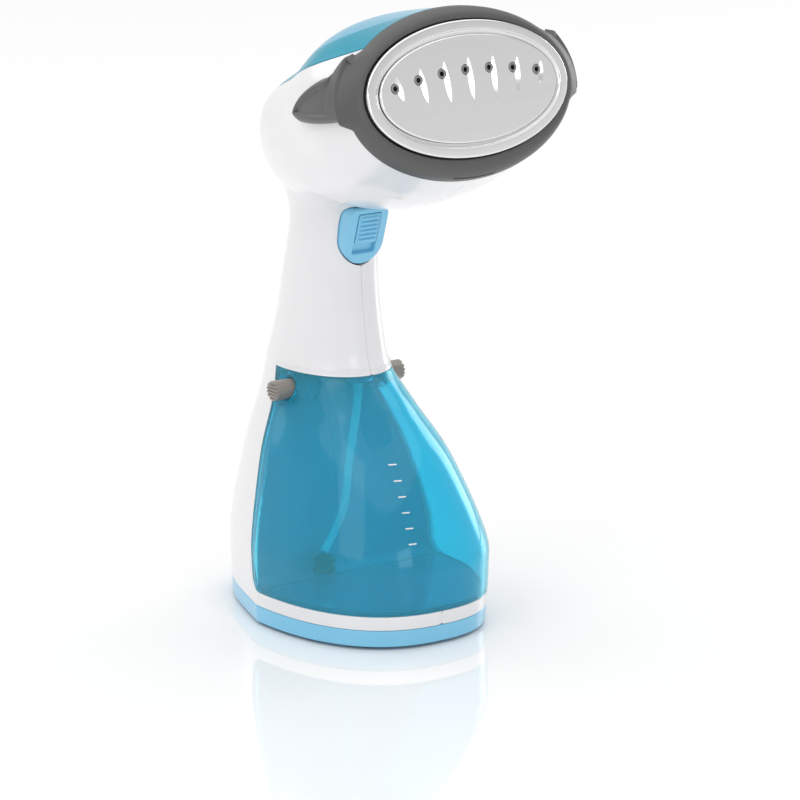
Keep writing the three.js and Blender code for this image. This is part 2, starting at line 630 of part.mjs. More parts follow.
function steamPlate() {
  const { halfWidth: a, halfHeight: b } = PLATE;
  let plate = ovalStack([
    [a, b, -2.6], [a, b, -0.8], [a - 0.8, b - 0.8, 0], [a - 4.2, b - 4.2, 0.2], [a - 4.8, b - 4.8, -0.5],
    [a - 6, b - 6, -0.5], [a - 7, b - 7, 0.6], [a - 14, b - 12, FACE], [a - 30, b - 20, FACE],
  ].map(([w, h, z]) => [w, h, z, 0]));
  for (const index of NOZZLES) {
    const x = nozzleX(index);
    const y = nozzleY(index);
    plate = plate.subtract(rod(vec(x, y, -5), vec(x, y, 5), 2.3, 2.3, 16));
    const cutter = { depth: 3, bevelEnabled: false, curveSegments: 4 };
    const leaf = new THREE.ExtrudeGeometry(leafOutline(index), cutter).translate(0, 0, FACE - 0.7);
    plate = plate.subtract(toSolid(leaf));
  }
  return plate;
}
add('steam_plate', steamPlate(), polishedSteel, head);

// Eyelets through the plate; each hole runs on to the chamber behind.
const eyeletProfile = [
  [0.95, -2.4], [2, -2.4], [2, FACE - 0.35], [1.6, FACE + 0.05], [0.95, FACE - 0.3], [0.95, -2.4],
];
NOZZLES.forEach((index) => {
  const eyelet = add(`steam_nozzle_${index + 4}`, turned(eyeletProfile, 12), castAluminium, head);
  eyelet.position.set(nozzleX(index), nozzleY(index), 0);
});

const { halfWidth: plateX, halfHeight: plateY } = PLATE;
const gasketOuter = ovalStack([[plateX, plateY, -5, 0], [plateX, plateY, -2.9, 0]]);
const gasketInner = ovalStack([[plateX - 4, plateY - 3.9, -6, 0], [plateX - 4, plateY - 3.9, -2, 0]]);
add('plate_gasket', gasketOuter.subtract(gasketInner), rubber, head);

const chamberRows = [[42, 20, -16, 0], [46, 23.5, -14, 0], [48.6, 25.3, -9, 0], [48.6, 25.3, -2.9, 0]];
const chamber = ovalStack(chamberRows, 36)
  .add(rod(vec(0, -4, -17), vec(0, -4, -15), 4))
  .subtract(rod(vec(0, -4, -18), vec(0, -4, -8), 2.8));
add('steam_chamber', chamber, castAluminium, head);

// The heater is a U-shaped tube lying on the back of the chamber with both ends turned away from it.
const heaterCurve = [
  vec(-34, 2, -27), vec(-34, 2, -20), vec(-30, 6, -19.4), vec(-18, 11, -19.4), vec(0, 12.5, -19.4),
  vec(18, 11, -19.4), vec(30, 6, -19.4), vec(34, 2, -20), vec(34, 2, -27),
];
add('heating_element', tube(heaterCurve, 3, 24, 4), castAluminium, head);

const thermostat = rod(vec(-14, -5, -26), vec(-14, -5, -16.3), 7)
  .add(block([-22, -19.5], [-6, -4], [-31, -25.9]).add(block([-20, -18], [-6, -4], [-26.5, -25])))
  .add(block([-8.5, -6], [-6, -4], [-31, -25.9]).add(block([-10, -8], [-6, -4], [-26.5, -25])));
add('thermostat', thermostat, blackPlastic, head);

const fuse = rod(vec(12, -9, -18.8), vec(26, -9, -18.8), 2.4, 2.4, 16);
add('thermal_fuse', fuse, paleHose, head);

// ---------------------------------------------------------------- bezel with its two clip ears

const RING_FRONT = -1.6;
function bezelBody() {
  const outer = ovalStack([
    [MOUTH.halfWidth, 37.6, -MOUTH.behindPlate + GAP, -MOUTH.below],
    [MOUTH.halfWidth - 0.3, 37.2, -6.4, -1.1],
    [MOUTH.halfWidth - 1, 36.2, -4.2, -0.9],
    [MOUTH.halfWidth - 2.4, 34, -2.2, -0.6],
    [MOUTH.halfWidth - 3.8, 31.8, RING_FRONT, -0.2],
  ]);
  return outer.subtract(block([-10.5, 10.5], [-40, -34.6], [-6.2, -5]));
}

// Side-view outline of an ear: a leaf that starts at the ring and runs back along the head.
function earOutline(inside) {
  const outline = new THREE.Shape();
  outline.moveTo(-80, 246 + inside);
  outline.lineTo(-66, 244 + inside);
  outline.quadraticCurveTo(-47, 240 + inside, -30, 239 + inside);
  outline.quadraticCurveTo(-19 - inside, 239 + inside, -20.5 - inside, 243);
  outline.quadraticCurveTo(-30, 254 - inside, -50, 263 - inside);
  outline.quadraticCurveTo(-58, 266 - inside, -62, 273 - inside);
  outline.lineTo(-76, 278 - inside);
  return outline;
}

// How far the ears stand off the head: little at the tip, more where they meet the ring.
const earStand = (sunk) => (along) => sunk - GAP - 1.2 - 4.2 * smoothstep(along, 0.8, 1);

function bezel() {
  const leaf = toSolid(acrossGeometry(earOutline(0), -WIDE, WIDE, 4));
  const thumbRest = toSolid(acrossGeometry(earOutline(3), -WIDE, WIDE, 4));
  const { behindPlate, below } = MOUTH;
  const root = inWorld(ovalStack([
    [64.2, 42.5, -behindPlate - 0.6, -below],
    [63.4, 41.5, -8, -below],
    [60.8, 39, -5.2, -below],
    [57.5, 36, -3, -below],
  ]));
  const headSpace = inWorld(ovalStack([[58.8, 38.1, -16, -below], [58.8, 38.1, GAP - behindPlate, -below]]));
  const sunk = thumbRest.subtract(skin(earStand(0.9))).subtract(block([-WIDE, WIDE], [-WIDE, -57], [0, 300]));
  const ears = leaf
    .intersect(skin(earStand(0)).add(root))
    .subtract(skin(() => -GAP))
    .subtract(headSpace)
    .subtract(sunk)
    .subtract(block([-44, 44], [-WIDE, WIDE], [0, TALL]));
  const { halfWidth: a, halfHeight: b } = PLATE;
  const window = ovalStack([[a + 0.6, b + 0.6, -5.2, 0], [a + 0.6, b + 0.6, 2, 0]]);
  const seat = ovalStack([[49.6, 26.3, -12, 0], [49.6, 26.3, -4, 0]]);
  return inWorld(bezelBody()).add(ears).subtract(inWorld(window)).subtract(inWorld(seat));
}
add('bezel_ring', bezel(), darkGrey);

export default model;
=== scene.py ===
"""Looks of a handheld garment steamer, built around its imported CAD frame."""
import json
import math

import bpy
import numpy as np
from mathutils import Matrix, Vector


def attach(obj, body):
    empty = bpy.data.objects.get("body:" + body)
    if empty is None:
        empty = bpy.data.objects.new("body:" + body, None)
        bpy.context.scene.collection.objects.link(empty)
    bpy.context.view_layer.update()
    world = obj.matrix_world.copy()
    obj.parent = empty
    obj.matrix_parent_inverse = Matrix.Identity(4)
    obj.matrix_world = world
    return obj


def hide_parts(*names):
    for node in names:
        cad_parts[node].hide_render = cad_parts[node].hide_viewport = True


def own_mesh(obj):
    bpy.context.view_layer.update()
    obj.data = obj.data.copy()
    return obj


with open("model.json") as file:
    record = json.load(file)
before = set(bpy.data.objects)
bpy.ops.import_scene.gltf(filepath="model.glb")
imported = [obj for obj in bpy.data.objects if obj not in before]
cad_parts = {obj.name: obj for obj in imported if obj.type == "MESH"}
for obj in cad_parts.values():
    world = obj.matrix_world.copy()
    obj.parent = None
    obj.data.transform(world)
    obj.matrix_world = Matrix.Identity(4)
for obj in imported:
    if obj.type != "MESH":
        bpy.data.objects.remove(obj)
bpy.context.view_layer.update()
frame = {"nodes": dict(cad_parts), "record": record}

# ---------------------------------------- dimensions, in mm

MM = 0.001
ORIGIN_Y = 0.5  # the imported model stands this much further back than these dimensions
TAU = 2 * math.pi
SIDES = ((1, "right"), (-1, "left"))

GAP = 0.3  # between the housing and its neighbours
SEAM, TANK_GAP = 0.05, 0.15  # half the line between the housing halves, and the line round the tank
UNCUT = -9.0  # a distance that is well inside, where a rule cuts nothing

TRAY_BOTTOM, TRAY_TOP = 1.0, 8.6
TANK_BOTTOM, TANK_TOP, TANK_CORNER, TANK_WALL = 15.3, 112.0, 8.0, 2.0
TANK_REAR_LOW, TANK_REAR_HIGH = 19.5, 37.5
TANK_BACK = 2.3  # the tank's front shell stops this far short of its rear
SLAB_INSET = TANK_WALL + 0.25  # of the tank's floor and lid, inside its skin
BUTTON_Y, BUTTON_Z, BUTTON_R, BUTTON_IN, BUTTON_OUT = 25.0, 104.0, 4.65, 21.8, 35.4
FILLER = (0.0, 27.0)
PORT = (0.0, 8.0)
GLAND_Z, GLAND_HOLE, GLAND_AHEAD = 26, 6.3, 60  # its hole cuts nothing ahead of this y
SCREW_HOLE = 3.9
COVER_EDGE, COVER_SLOPE = 252.6, 0.354  # height of the cover's lower edge at y = 0, and its fall
COVER_COS = 1 / math.hypot(1, COVER_SLOPE)
FEET = [(-30, -33), (30, -33), (-20, 64), (20, 64)]
BASE_SCREWS = [(-36, 2), (36, 2), (-29.5, 48), (29.5, 48)]
HOUSING_SCREWS = [(62, 30), (30, 150), (-14, 220)]
PLATE_X, PLATE_Y = 53.0, 29.6
PLATE_CENTRE = np.array([0.0, -76.0, 254.3])
PLATE_TILT = math.radians(14.6)
TRIGGER_FACE = np.array([0.0, 0.5, 176.0])
TRIGGER_LEAN = math.radians(17.2)
TRIGGER_HALF, TRIGGER_TOP = 10.3, 188.6
SLOT_CLEARANCE, SLOT_TOP, SLOT_DEPTH = 0.5, 190.3, 13


def frame_axes(angle):
    """Rows are the world directions of local X, Y and Z after a turn about X."""
    c, s = math.cos(angle), math.sin(angle)
    return np.array([[1, 0, 0], [0, c, s], [0, -s, c]])


PLATE_AXES = frame_axes(math.pi / 2 - PLATE_TILT)
TRIGGER_AXES = frame_axes(TRIGGER_LEAN)


def on_plate(points):
    return np.asarray(points, float) @ PLATE_AXES + PLATE_CENTRE


def on_trigger(points):
    return np.asarray(points, float) @ TRIGGER_AXES + TRIGGER_FACE


def xyz(points):
    return points[..., 0], points[..., 1], points[..., 2]


# Skin sections: front y, z, rear y, z, half width, place of the widest point, taper, powers.
MOUTH_LOW = on_plate([0, -39.0, -9])
MOUTH_HIGH = on_plate([0, 36.6, -9])
KEYS = np.array([
    [-56, 0, 79, 0, 50.5, 0.53, 0.4, 2.4, 4],
    [-58, 25, 80, 25, 51.5, 0.53, 0.4, 2.4, 4],
    [-57, 42, 79, 42, 50, 0.54, 0.36, 2.4, 3.5],
    [-40, 75, 72, 75, 40.5, 0.55, 0.24, 2.2, 2.8],
    [-20, 97, 68, 97, 30, 0.54, 0.12, 2.1, 2.3],
    [-3, 112, 65, 112, 25, 0.52, 0.06, 2.1, 2.2],
    [2, 130, 60, 130, 21.5, 0.5, 0, 2.1, 2.1],
    [5, 155, 54, 155, 19.5, 0.5, 0, 2.1, 2.1],
    [4, 180, 48, 180, 19, 0.5, 0, 2.1, 2.1],
    [-1, 189, 50, 197, 23, 0.5, 0, 2.1, 2.1],
    [-10, 192.5, 54, 214.5, 33, 0.5, 0, 2.1, 2.1],
    [-27, 193, 47, 238, 43, 0.5, 0, 2.1, 2.1],
    [-46, 198, 16, 257, 50, 0.5, 0, 2.1, 2.1],
    [-62, 205, -15, 277, 56.5, 0.5, 0, 2.1, 2.1],
    [MOUTH_LOW[1], MOUTH_LOW[2], MOUTH_HIGH[1], MOUTH_HIGH[2], 58.5, 0.5, 0, 2, 2],
])
MOUTH_END = 0.9995


def catmull_rom(knots, place):
    """Points of a Catmull-Rom curve through the knots, at places counted in knots."""
    padded = np.vstack([2 * knots[0] - knots[1], knots, 2 * knots[-1] - knots[-2]])
    i = np.minimum(place.astype(int), len(knots) - 2)
    f = (place - i)[..., None]
    p0, p1, p2, p3 = padded[i], padded[i + 1], padded[i + 2], padded[i + 3]
    square = 2 * p0 - 5 * p1 + 4 * p2 - p3
    cubic = -p0 + 3 * p1 - 3 * p2 + p3
    return 0.5 * (2 * p1 + (p2 - p0) * f + square * f * f + cubic * f ** 3)


def spline(t):
    """Skin section values at a share of the way from the floor to the mouth."""
    return catmull_rom(KEYS, np.clip(t, 0, 1) * (len(KEYS) - 1))


def skin(inset=0.0):
    """The outer skin moved inwards by an inset, as a surface of (along, angle)."""
    def surface(along, angle):
        k = spline(along)
        depth_inset = inset(along) if callable(inset) else inset
        front, rear = k[..., 0:2], k[..., 2:4]
        depth = np.linalg.norm(rear - front, axis=-1)
        forward, sideways = np.cos(angle), np.sin(angle)
        ahead = forward > 0
        power = np.where(ahead, k[..., 7], k[..., 8])
        reach = np.where(ahead, k[..., 5], 1 - k[..., 5]) * depth - depth_inset
        radius = (np.abs(sideways) ** power + np.abs(forward) ** power) ** (-1 / power)
        share = k[..., 5] - reach * radius * forward / depth
        yz = front + (rear - front) * share[..., None]
        narrowing = 1 - k[..., 6] * np.maximum(0, -forward * radius)
        x = (k[..., 4] - depth_inset) * radius * sideways * narrowing
        return np.concatenate([x[..., None], yz], axis=-1)
    return surface


LEVEL_TABLE = np.linspace(0, 0.5, 400)
HEIGHT_TABLE = spline(LEVEL_TABLE)[:, 1]


def front_y(z):
    return spline(np.interp(z, HEIGHT_TABLE, LEVEL_TABLE))[..., 0]


def half_width(y, z, inset=0.0):
    """Half width of the skin at a place in the side view, below the trigger."""
    k = spline(np.interp(z, HEIGHT_TABLE, LEVEL_TABLE))
    depth = k[..., 2] - k[..., 0]
    ahead = k[..., 5] * depth - (y - k[..., 0])
    front = ahead > 0
    reach = np.where(front, k[..., 5], 1 - k[..., 5]) * depth - inset
    q = np.clip(ahead / reach, -1, 1)
    power = np.where(front, k[..., 7], k[..., 8])
    w = np.maximum(1 - np.abs(q) ** power, 1e-6) ** (1 / power)
    return (k[..., 4] - inset) * w * (1 - k[..., 6] * np.maximum(0, -q))


# ---------------------------------------- mesh building

def smoothstep(x, low, high):
    t = np.clip((np.asarray(x, float) - low) / (high - low), 0, 1)
    return t * t * (3 - 2 * t)


def merge(*meshes):
    points, faces, start = [], [], 0
    for mesh_points, mesh_faces in meshes:
        points.append(mesh_points)
        faces.extend([[i + start for i in face] for face in mesh_faces])
        start += len(mesh_points)
    return np.vstack(points), faces


def grid_faces(rows, columns, wrap_rows=False, wrap_columns=True):
    index = np.arange(rows * columns).reshape(rows, columns)
    down = np.roll(index, -1, 0)
    right = np.roll(index, -1, 1)
    across = np.roll(down, -1, 1)
    last_row = rows if wrap_rows else rows - 1
    last_column = columns if wrap_columns else columns - 1
    quads = np.stack([index, down, across, right], -1)[:last_row, :last_column]
    return quads.reshape(-1, 4).tolist()


def rounded(corners, radius, steps=4, loop=False):
    """A polyline with its corners rounded off."""
    corners = [np.asarray(c, float) for c in corners]
    out = []
    for i, corner in enumerate(corners):
        if not loop and i in (0, len(corners) - 1):
            out.append(corner)
            continue
        before = corners[i - 1] - corner
        after = corners[(i + 1) % len(corners)] - corner
        start = corner + before * min(0.45, radius / np.linalg.norm(before))
        end = corner + after * min(0.45, radius / np.linalg.norm(after))
        for t in np.linspace(0, 1, steps + 1):
            out.append((1 - t) ** 2 * start + 2 * t * (1 - t) * corner + t * t * end)
    return np.array(out)


def lathe(profile, sides=64, loop=False):
    """A solid of revolution about Z. An open profile starts and ends on the axis."""
    profile = np.asarray(profile, float)
    rings = profile if loop else profile[1:-1]
    angle = np.linspace(0, TAU, sides, endpoint=False)
    ring = np.stack([np.cos(angle), np.sin(angle)], -1)
    points = np.concatenate([
        np.column_stack([ring * r, np.full(sides, z)]) for r, z in rings
    ])
    faces = [face[::-1] for face in grid_faces(len(rings), sides, wrap_rows=loop)]
    if not loop:
        poles = np.array([[0, 0, profile[0][1]], [0, 0, profile[-1][1]]])
        first, last, top = len(points), len(points) + 1, len(points) - sides
        points = np.vstack([points, poles])
        for i in range(sides):
            j = (i + 1) % sides
            faces.append([first, j, i])
            faces.append([last, top + i, top + j])
    return points, faces


def lengths_along(line):
    steps = np.linalg.norm(np.diff(line, axis=0), axis=1)
    return np.concatenate([[0], np.cumsum(steps)])


def smooth_path(knots, count):
    """A smooth curve through the knots, evenly spaced."""
    out = catmull_rom(np.asarray(knots, float), np.linspace(0, len(knots) - 1, 400))
    length = lengths_along(out)
    even = np.linspace(0, length[-1], count)
    return np.column_stack([np.interp(even, length, out[:, axis]) for axis in range(3)])


def sweep(knots, radius, count=90, sides=24):
    """A closed round bar along a smooth path."""
    path = smooth_path(knots, count)
    tangents = np.gradient(path, axis=0)
    tangents /= np.linalg.norm(tangents, axis=1)[:, None]
    across = np.cross(tangents[0], [1.0, 0.3, 0.2])
    angle = np.linspace(0, TAU, sides, endpoint=False)
    points = []
    for centre, tangent in zip(path, tangents):
        across = across - tangent * np.dot(across, tangent)
        across /= np.linalg.norm(across)
        other = np.cross(tangent, across)
        ring = np.outer(np.cos(angle), across) + np.outer(np.sin(angle), other)
        points.append(centre + radius * ring)
    faces = [face[::-1] for face in grid_faces(count, sides)]
    faces.append(list(range(sides))[::-1])
    faces.append([(count - 1) * sides + i for i in range(sides)])
    return np.vstack(points), faces


UP, DOWN, AHEAD = (0, 0, 1), (0, 0, -1), (0, -1, 0)
SNAP = 0.3  # a grid point this near to a cut, in cells, moves onto it
LIP_STEPS = np.radians([22.5, 45, 67.5, 90])


def snapped(U, V, F, du, dv, wrap):
    """Moves grid points that are close to the zero line of F onto it."""
    best = np.full(F.shape, SNAP)
    move_u, move_v = np.zeros(F.shape), np.zeros(F.shape)
    for step_u, step_v in ((1, 0), (-1, 0), (0, 1), (0, -1)):
        other = np.roll(F, (-step_u, -step_v), (0, 1))
        crosses = F * other < 0
        if step_u:
            crosses[-1 if step_u > 0 else 0, :] = False
        if step_v and not wrap:
            crosses[:, -1 if step_v > 0 else 0] = False
        t = np.where(crosses, F / np.where(crosses, F - other, 1), 1)
        closer = t < best
        best[closer] = t[closer]
        move_u[closer], move_v[closer] = step_u * du, step_v * dv
    moved = best < SNAP
    U = U + np.where(moved, best * move_u, 0)
    V = V + np.where(moved, best * move_v, 0)
    return U, V, np.where(moved, 0, F)


def cut_faces(U, V, F, wrap, period):
    """Faces of the grid where F is negative, cut along its zero line, and their parameters."""
    rows, columns = F.shape
    quads = np.array(grid_faces(rows, columns, wrap_columns=wrap))
    u, v, f = U.ravel(), V.ravel(), F.ravel()
    corner = f[quads]
    whole = (corner <= 0).all(1) & (corner < 0).any(1)
    mixed = (corner < 0).any(1) & (corner > 0).any(1)
    faces = quads[whole].tolist()
    extra, cuts = [], {}

    def crossing(a, b):
        key = (min(a, b), max(a, b))
        if key not in cuts:
            a, b = key
            t = f[a] / (f[a] - f[b])
            vb = v[b] + (period * round((v[a] - v[b]) / period) if wrap else 0)
            cuts[key] = len(u) + len(extra)
            extra.append((u[a] + t * (u[b] - u[a]), v[a] + t * (vb - v[a])))
        return cuts[key]

    for quad in quads[mixed].tolist():
        face = []
        for a, b in zip(quad, quad[1:] + quad[:1]):
            if f[a] <= 0:
                face.append(a)
            if f[a] * f[b] < 0:
                face.append(crossing(a, b))
        if len(face) >= 3:
            faces.append(face)
    params = np.column_stack([u, v])
    if extra:
        params = np.vstack([params, extra])
    used = np.unique(np.concatenate([np.asarray(face) for face in faces]))
    renumber = np.full(len(params), -1)
    renumber[used] = np.arange(len(used))
    return params[used], [renumber[np.asarray(face)].tolist() for face in faces]


def shell(surface, u_span, v_span, counts, field=None, lip=0.2, wall=2.0, wrap=False, sign=1,
          facing=None):
    """A wall behind the part of a surface where the field is negative, with rounded edges.

    The rounding stands outside the cut, so the finished edge lies on the field's zero line.
    A surface with fine relief faces one way all over, so that its inner side stays plain.
    """
    us = np.linspace(*u_span, counts[0])
    vs = np.linspace(*v_span, counts[1], endpoint=not wrap)
    du, dv = us[1] - us[0], vs[1] - vs[0]
    U, V = np.meshgrid(us, vs, indexing="ij")
    F = field(surface(U, V)) + lip if field else -np.ones(U.shape)
    U, V, F = snapped(U, V, F, du, dv, wrap)
    params, faces = cut_faces(U, V, F, wrap, v_span[1] - v_span[0])
    u, v = params[:, 0], params[:, 1]
    points = surface(u, v)
    nudge_u, nudge_v = du * 0.05, dv * 0.05
    along = surface(u + nudge_u, v) - surface(u - nudge_u, v)
    across = surface(u, v + nudge_v) - surface(u, v - nudge_v)
    normals = np.cross(along, across) * sign
    normals /= np.linalg.norm(normals, axis=1)[:, None] + 1e-12
    if facing:
        normals[:] = facing
    if sign < 0:
        faces = [face[::-1] for face in faces]
    directed = {(a, b) for face in faces for a, b in zip(face, face[1:] + face[:1])}
    border = [(a, b) for a, b in sorted(directed) if (b, a) not in directed]
    outward = np.zeros(points.shape)
    for a, b in border:
        side = np.cross(points[b] - points[a], normals[a] + normals[b])
        side /= np.linalg.norm(side) + 1e-12
        outward[a] += side
        outward[b] += side
    outward -= normals * (outward * normals).sum(1)[:, None]
    outward /= np.linalg.norm(outward, axis=1)[:, None] + 1e-12

    thickness = wall(points) if callable(wall) else np.full(len(points), wall)
    inner = points - normals * thickness[:, None] + outward * lip
    count = len(points)
    all_points = [points, inner]
    faces = faces + [[i + count for i in face[::-1]] for face in faces]
    rim = sorted({i for edge in border for i in edge})
    place = {i: k for k, i in enumerate(rim)}
    row = {i: i for i in rim}
    start = 2 * count
    for angle in LIP_STEPS if lip else ():
        push, drop = lip * math.sin(angle), lip * (1 - math.cos(angle))
        all_points.append(points[rim] + outward[rim] * push - normals[rim] * drop)
        next_row = {i: start + place[i] for i in rim}
        faces += [[row[b], row[a], next_row[a], next_row[b]] for a, b in border]
        row = next_row
        start += len(rim)
    faces += [[row[b], row[a], a + count, b + count] for a, b in border]
    return np.vstack(all_points), faces


def polygon_distance(x, y, polygon):
    """Distance to a closed outline, negative inside it."""
    x, y = np.asarray(x, float), np.asarray(y, float)
    best = np.full(x.shape, 1e9)
    inside = np.zeros(x.shape, bool)
    polygon = np.asarray(polygon, float)
    for (ax, ay), (bx, by) in zip(polygon, np.roll(polygon, -1, 0)):
        ex, ey = bx - ax, by - ay
        t = np.clip(((x - ax) * ex + (y - ay) * ey) / (ex * ex + ey * ey), 0, 1)
        best = np.minimum(best, np.hypot(x - ax - t * ex, y - ay - t * ey))
        crosses = (ay > y) != (by > y)
        inside ^= crosses & (x < (y - ay) * ex / (ey if ey else 1e-9) + ax)
    return np.where(inside, -best, best)


def curve_points(start, *pieces, steps=10):
    """Outline points from line ends (x, y) and quadratic pieces ((control), (end))."""
    out = [np.asarray(start, float)]
    for piece in pieces:
        if np.ndim(piece) == 1:
            out.append(np.asarray(piece, float))
            continue
        first, control, end = out[-1], np.asarray(piece[0], float), np.asarray(piece[1], float)
        for t in np.linspace(0, 1, steps + 1)[1:]:
            out.append((1 - t) ** 2 * first + 2 * t * (1 - t) * control + t * t * end)
    return np.array(out)


# ---------------------------------------- materials

CLOUD_SCALE, CLOUD_DETAIL, GRAIN_DETAIL = 35.0, 4.0, 3.0
GRAIN_HEIGHT, COAT_ROUGHNESS, SUBSURFACE_SCALE = 0.0003, 0.05, 0.004


def finish(name, color, rough, metallic=0.0, coat=0.0, spread=0.03, grain=900.0, bump=0.04,
           rough_spread=0.05, stretch=(1, 1, 1), transmission=0.0, ior=1.5, sheen=0.0,
           subsurface=0.0):
    """A procedural finish: cloudy colour, uneven gloss and a fine surface grain."""
    material = bpy.data.materials.new(name)
    material.use_nodes = True
    tree = material.node_tree
    shader = tree.nodes["Principled BSDF"]
    new, link = tree.nodes.new, tree.links.new
    place = new("ShaderNodeTexCoord")
    mapping = new("ShaderNodeMapping")
    mapping.inputs["Scale"].default_value = stretch
    link(place.outputs["Object"], mapping.inputs["Vector"])
    cloud = new("ShaderNodeTexNoise")
    cloud.inputs["Scale"].default_value = CLOUD_SCALE
    cloud.inputs["Detail"].default_value = CLOUD_DETAIL
    fine = new("ShaderNodeTexNoise")
    fine.inputs["Scale"].default_value = grain
    fine.inputs["Detail"].default_value = GRAIN_DETAIL
    for noise in (cloud, fine):
        link(mapping.outputs["Vector"], noise.inputs["Vector"])
    mix = new("ShaderNodeMix")
    mix.data_type = "RGBA"
    mix.inputs["A"].default_value = [min(1, c * (1 - spread)) for c in color] + [1]
    mix.inputs["B"].default_value = [min(1, c * (1 + spread)) for c in color] + [1]
    link(cloud.outputs["Fac"], mix.inputs["Factor"])
    link(mix.outputs["Result"], shader.inputs["Base Color"])
    gloss = new("ShaderNodeMapRange")
    gloss.inputs["To Min"].default_value = max(0.0, rough - rough_spread)
    gloss.inputs["To Max"].default_value = rough + rough_spread
    link(fine.outputs["Fac"], gloss.inputs["Value"])
    link(gloss.outputs["Result"], shader.inputs["Roughness"])
    relief = new("ShaderNodeBump")
    relief.inputs["Strength"].default_value = bump
    relief.inputs["Distance"].default_value = GRAIN_HEIGHT
    link(fine.outputs["Fac"], relief.inputs["Height"])
    link(relief.outputs["Normal"], shader.inputs["Normal"])
    constants = {
        "Metallic": metallic, "Coat Weight": coat, "Coat Roughness": COAT_ROUGHNESS,
        "Transmission Weight": transmission, "IOR": ior, "Sheen Weight": sheen,
        "Subsurface Weight": subsurface, "Subsurface Scale": SUBSURFACE_SCALE,
    }
    for socket, value in constants.items():
        shader.inputs[socket].default_value = value
    return material


FINISH_TABLE = {
    "white_plastic": ((0.80, 0.795, 0.81), 0.22, dict(coat=0.5, spread=0.015, bump=0.03)),
    "sky_plastic": ((0.20, 0.56, 0.80), 0.25, dict(coat=0.4, spread=0.03, bump=0.04)),
    "teal_plastic": ((0.97, 0.97, 0.97), 0.2, dict(ior=1.2, spread=0.03, bump=0.02)),
    "dark_grey_plastic": ((0.088, 0.087, 0.086), 0.42, dict(spread=0.06, grain=2200.0, bump=0.10)),
    "tank_tint": ((0.11, 0.78, 1.0), 0.05, dict(spread=0.04, bump=0.015, rough_spread=0.03,
                                                transmission=0.84, ior=1.33)),
    "button_grey": ((0.24, 0.215, 0.19), 0.25, dict(coat=0.5, spread=0.06, bump=0.05)),
    "polished_steel": ((0.81, 0.81, 0.82), 0.13, dict(metallic=1.0, spread=0.03, grain=260.0,
                                                      bump=0.02, stretch=(1, 9, 9),
                                                      rough_spread=0.04)),
    "spring_steel": ((0.62, 0.62, 0.64), 0.28, dict(metallic=1.0, spread=0.08, bump=0.05)),
    "cast_aluminium": ((0.27, 0.27, 0.275), 0.45, dict(metallic=1.0, spread=0.12, grain=1500.0,
                                                       bump=0.25)),
    "rubber": ((0.03, 0.03, 0.032), 0.6, dict(spread=0.15, grain=1800.0, bump=0.15, sheen=0.2)),
    "pale_plastic": ((0.74, 0.80, 0.83), 0.3, dict(spread=0.03, bump=0.03, subsurface=0.2)),
    "silicone_hose": ((0.30, 0.32, 0.34), 0.45, dict(spread=0.06, bump=0.06)),
    "black_plastic": ((0.025, 0.026, 0.03), 0.35, dict(spread=0.15, bump=0.08)),
    "red_lead": ((0.45, 0.05, 0.04), 0.4, dict(spread=0.08, bump=0.05)),
    "blue_lead": ((0.05, 0.13, 0.42), 0.4, dict(spread=0.08, bump=0.05)),
}
FINISHES = {
    name: finish(name, color, rough, **options)
    for name, (color, rough, options) in FINISH_TABLE.items()
}
BAND_GROWTH, BAND_REAR = 0.12, 46.0  # the cover's darker teal band widens towards the front; above it the cover is painted lighter, a painted sky reflection
BAND_BLUR = 0.0003
# BAND_COLOR is the cover's own teal; the second colour is painted sheen, lighter for the sky the
# upper part reflects
BAND_COLOR, COVER_SHEEN_COLOR = (0.022, 0.31, 0.43), (0.16, 0.44, 0.61)


def paint_sheen_above_plane(material, low, high, normal, offset):
    """Gives a finish a second colour on one side of a plane through the object: a painted sheen, a
    lighter colour that stands for sky reflected in the cover's upper part.
    """
    tree = material.node_tree
    new, link = tree.nodes.new, tree.links.new
    mix = next(node for node in tree.nodes if node.type == "MIX")
    place = next(node for node in tree.nodes if node.type == "TEX_COORD")
    shader = tree.nodes["Principled BSDF"]
    height = new("ShaderNodeVectorMath")
    height.operation = "DOT_PRODUCT"
    height.inputs[1].default_value = normal
    link(place.outputs["Object"], height.inputs[0])
    share = new("ShaderNodeMapRange")
    share.inputs["From Min"].default_value = offset - BAND_BLUR
    share.inputs["From Max"].default_value = offset + BAND_BLUR
    link(height.outputs["Value"], share.inputs["Value"])
    tint = new("ShaderNodeMix")
    tint.data_type = "RGBA"
    tint.inputs["A"].default_value = (*low, 1)
    tint.inputs["B"].default_value = (*high, 1)
    link(share.outputs["Result"], tint.inputs["Factor"])
    cloudy = new("ShaderNodeMix")
    cloudy.data_type = "RGBA"
    cloudy.blend_type = "MULTIPLY"
    cloudy.inputs["Factor"].default_value = 1
    link(mix.outputs["Result"], cloudy.inputs["A"])
    link(tint.outputs["Result"], cloudy.inputs["B"])
    link(cloudy.outputs["Result"], shader.inputs["Base Color"])


RECORD = frame["record"]
SLOT_OF = {part["node"]: part["material_slot"] for part in RECORD["subparts"]}
BODY_OF = {
    node: body for body, nodes in RECORD["behaviour"]["bodies"].items() for node in nodes
}
for node, cad in frame["nodes"].items():
    cad.data.materials.clear()
    cad.data.materials.append(FINISHES[SLOT_OF[node]])

SHARP_EDGE = math.radians(40)


def piece(name, mesh, node, stands_for=True, slot=None):
    """A finished piece on the same body as a CAD node, which it takes the place of."""
    points, faces = mesh
    data = bpy.data.meshes.new(name)
    moved = (np.asarray(points) + [0, ORIGIN_Y, 0]) * MM
    data.from_pydata(moved.tolist(), [], faces)
    data.validate()
    data.shade_smooth()
    data.set_sharp_from_angle(angle=SHARP_EDGE)
    slot = slot or SLOT_OF[node]
    data.materials.append(FINISHES[slot])
    shape = bpy.data.objects.new(name, data)
    bpy.context.scene.collection.objects.link(shape)
    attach(shape, BODY_OF[node])
    if stands_for:
        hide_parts(node)
    return shape


# ---------------------------------------- zones that divide the skin

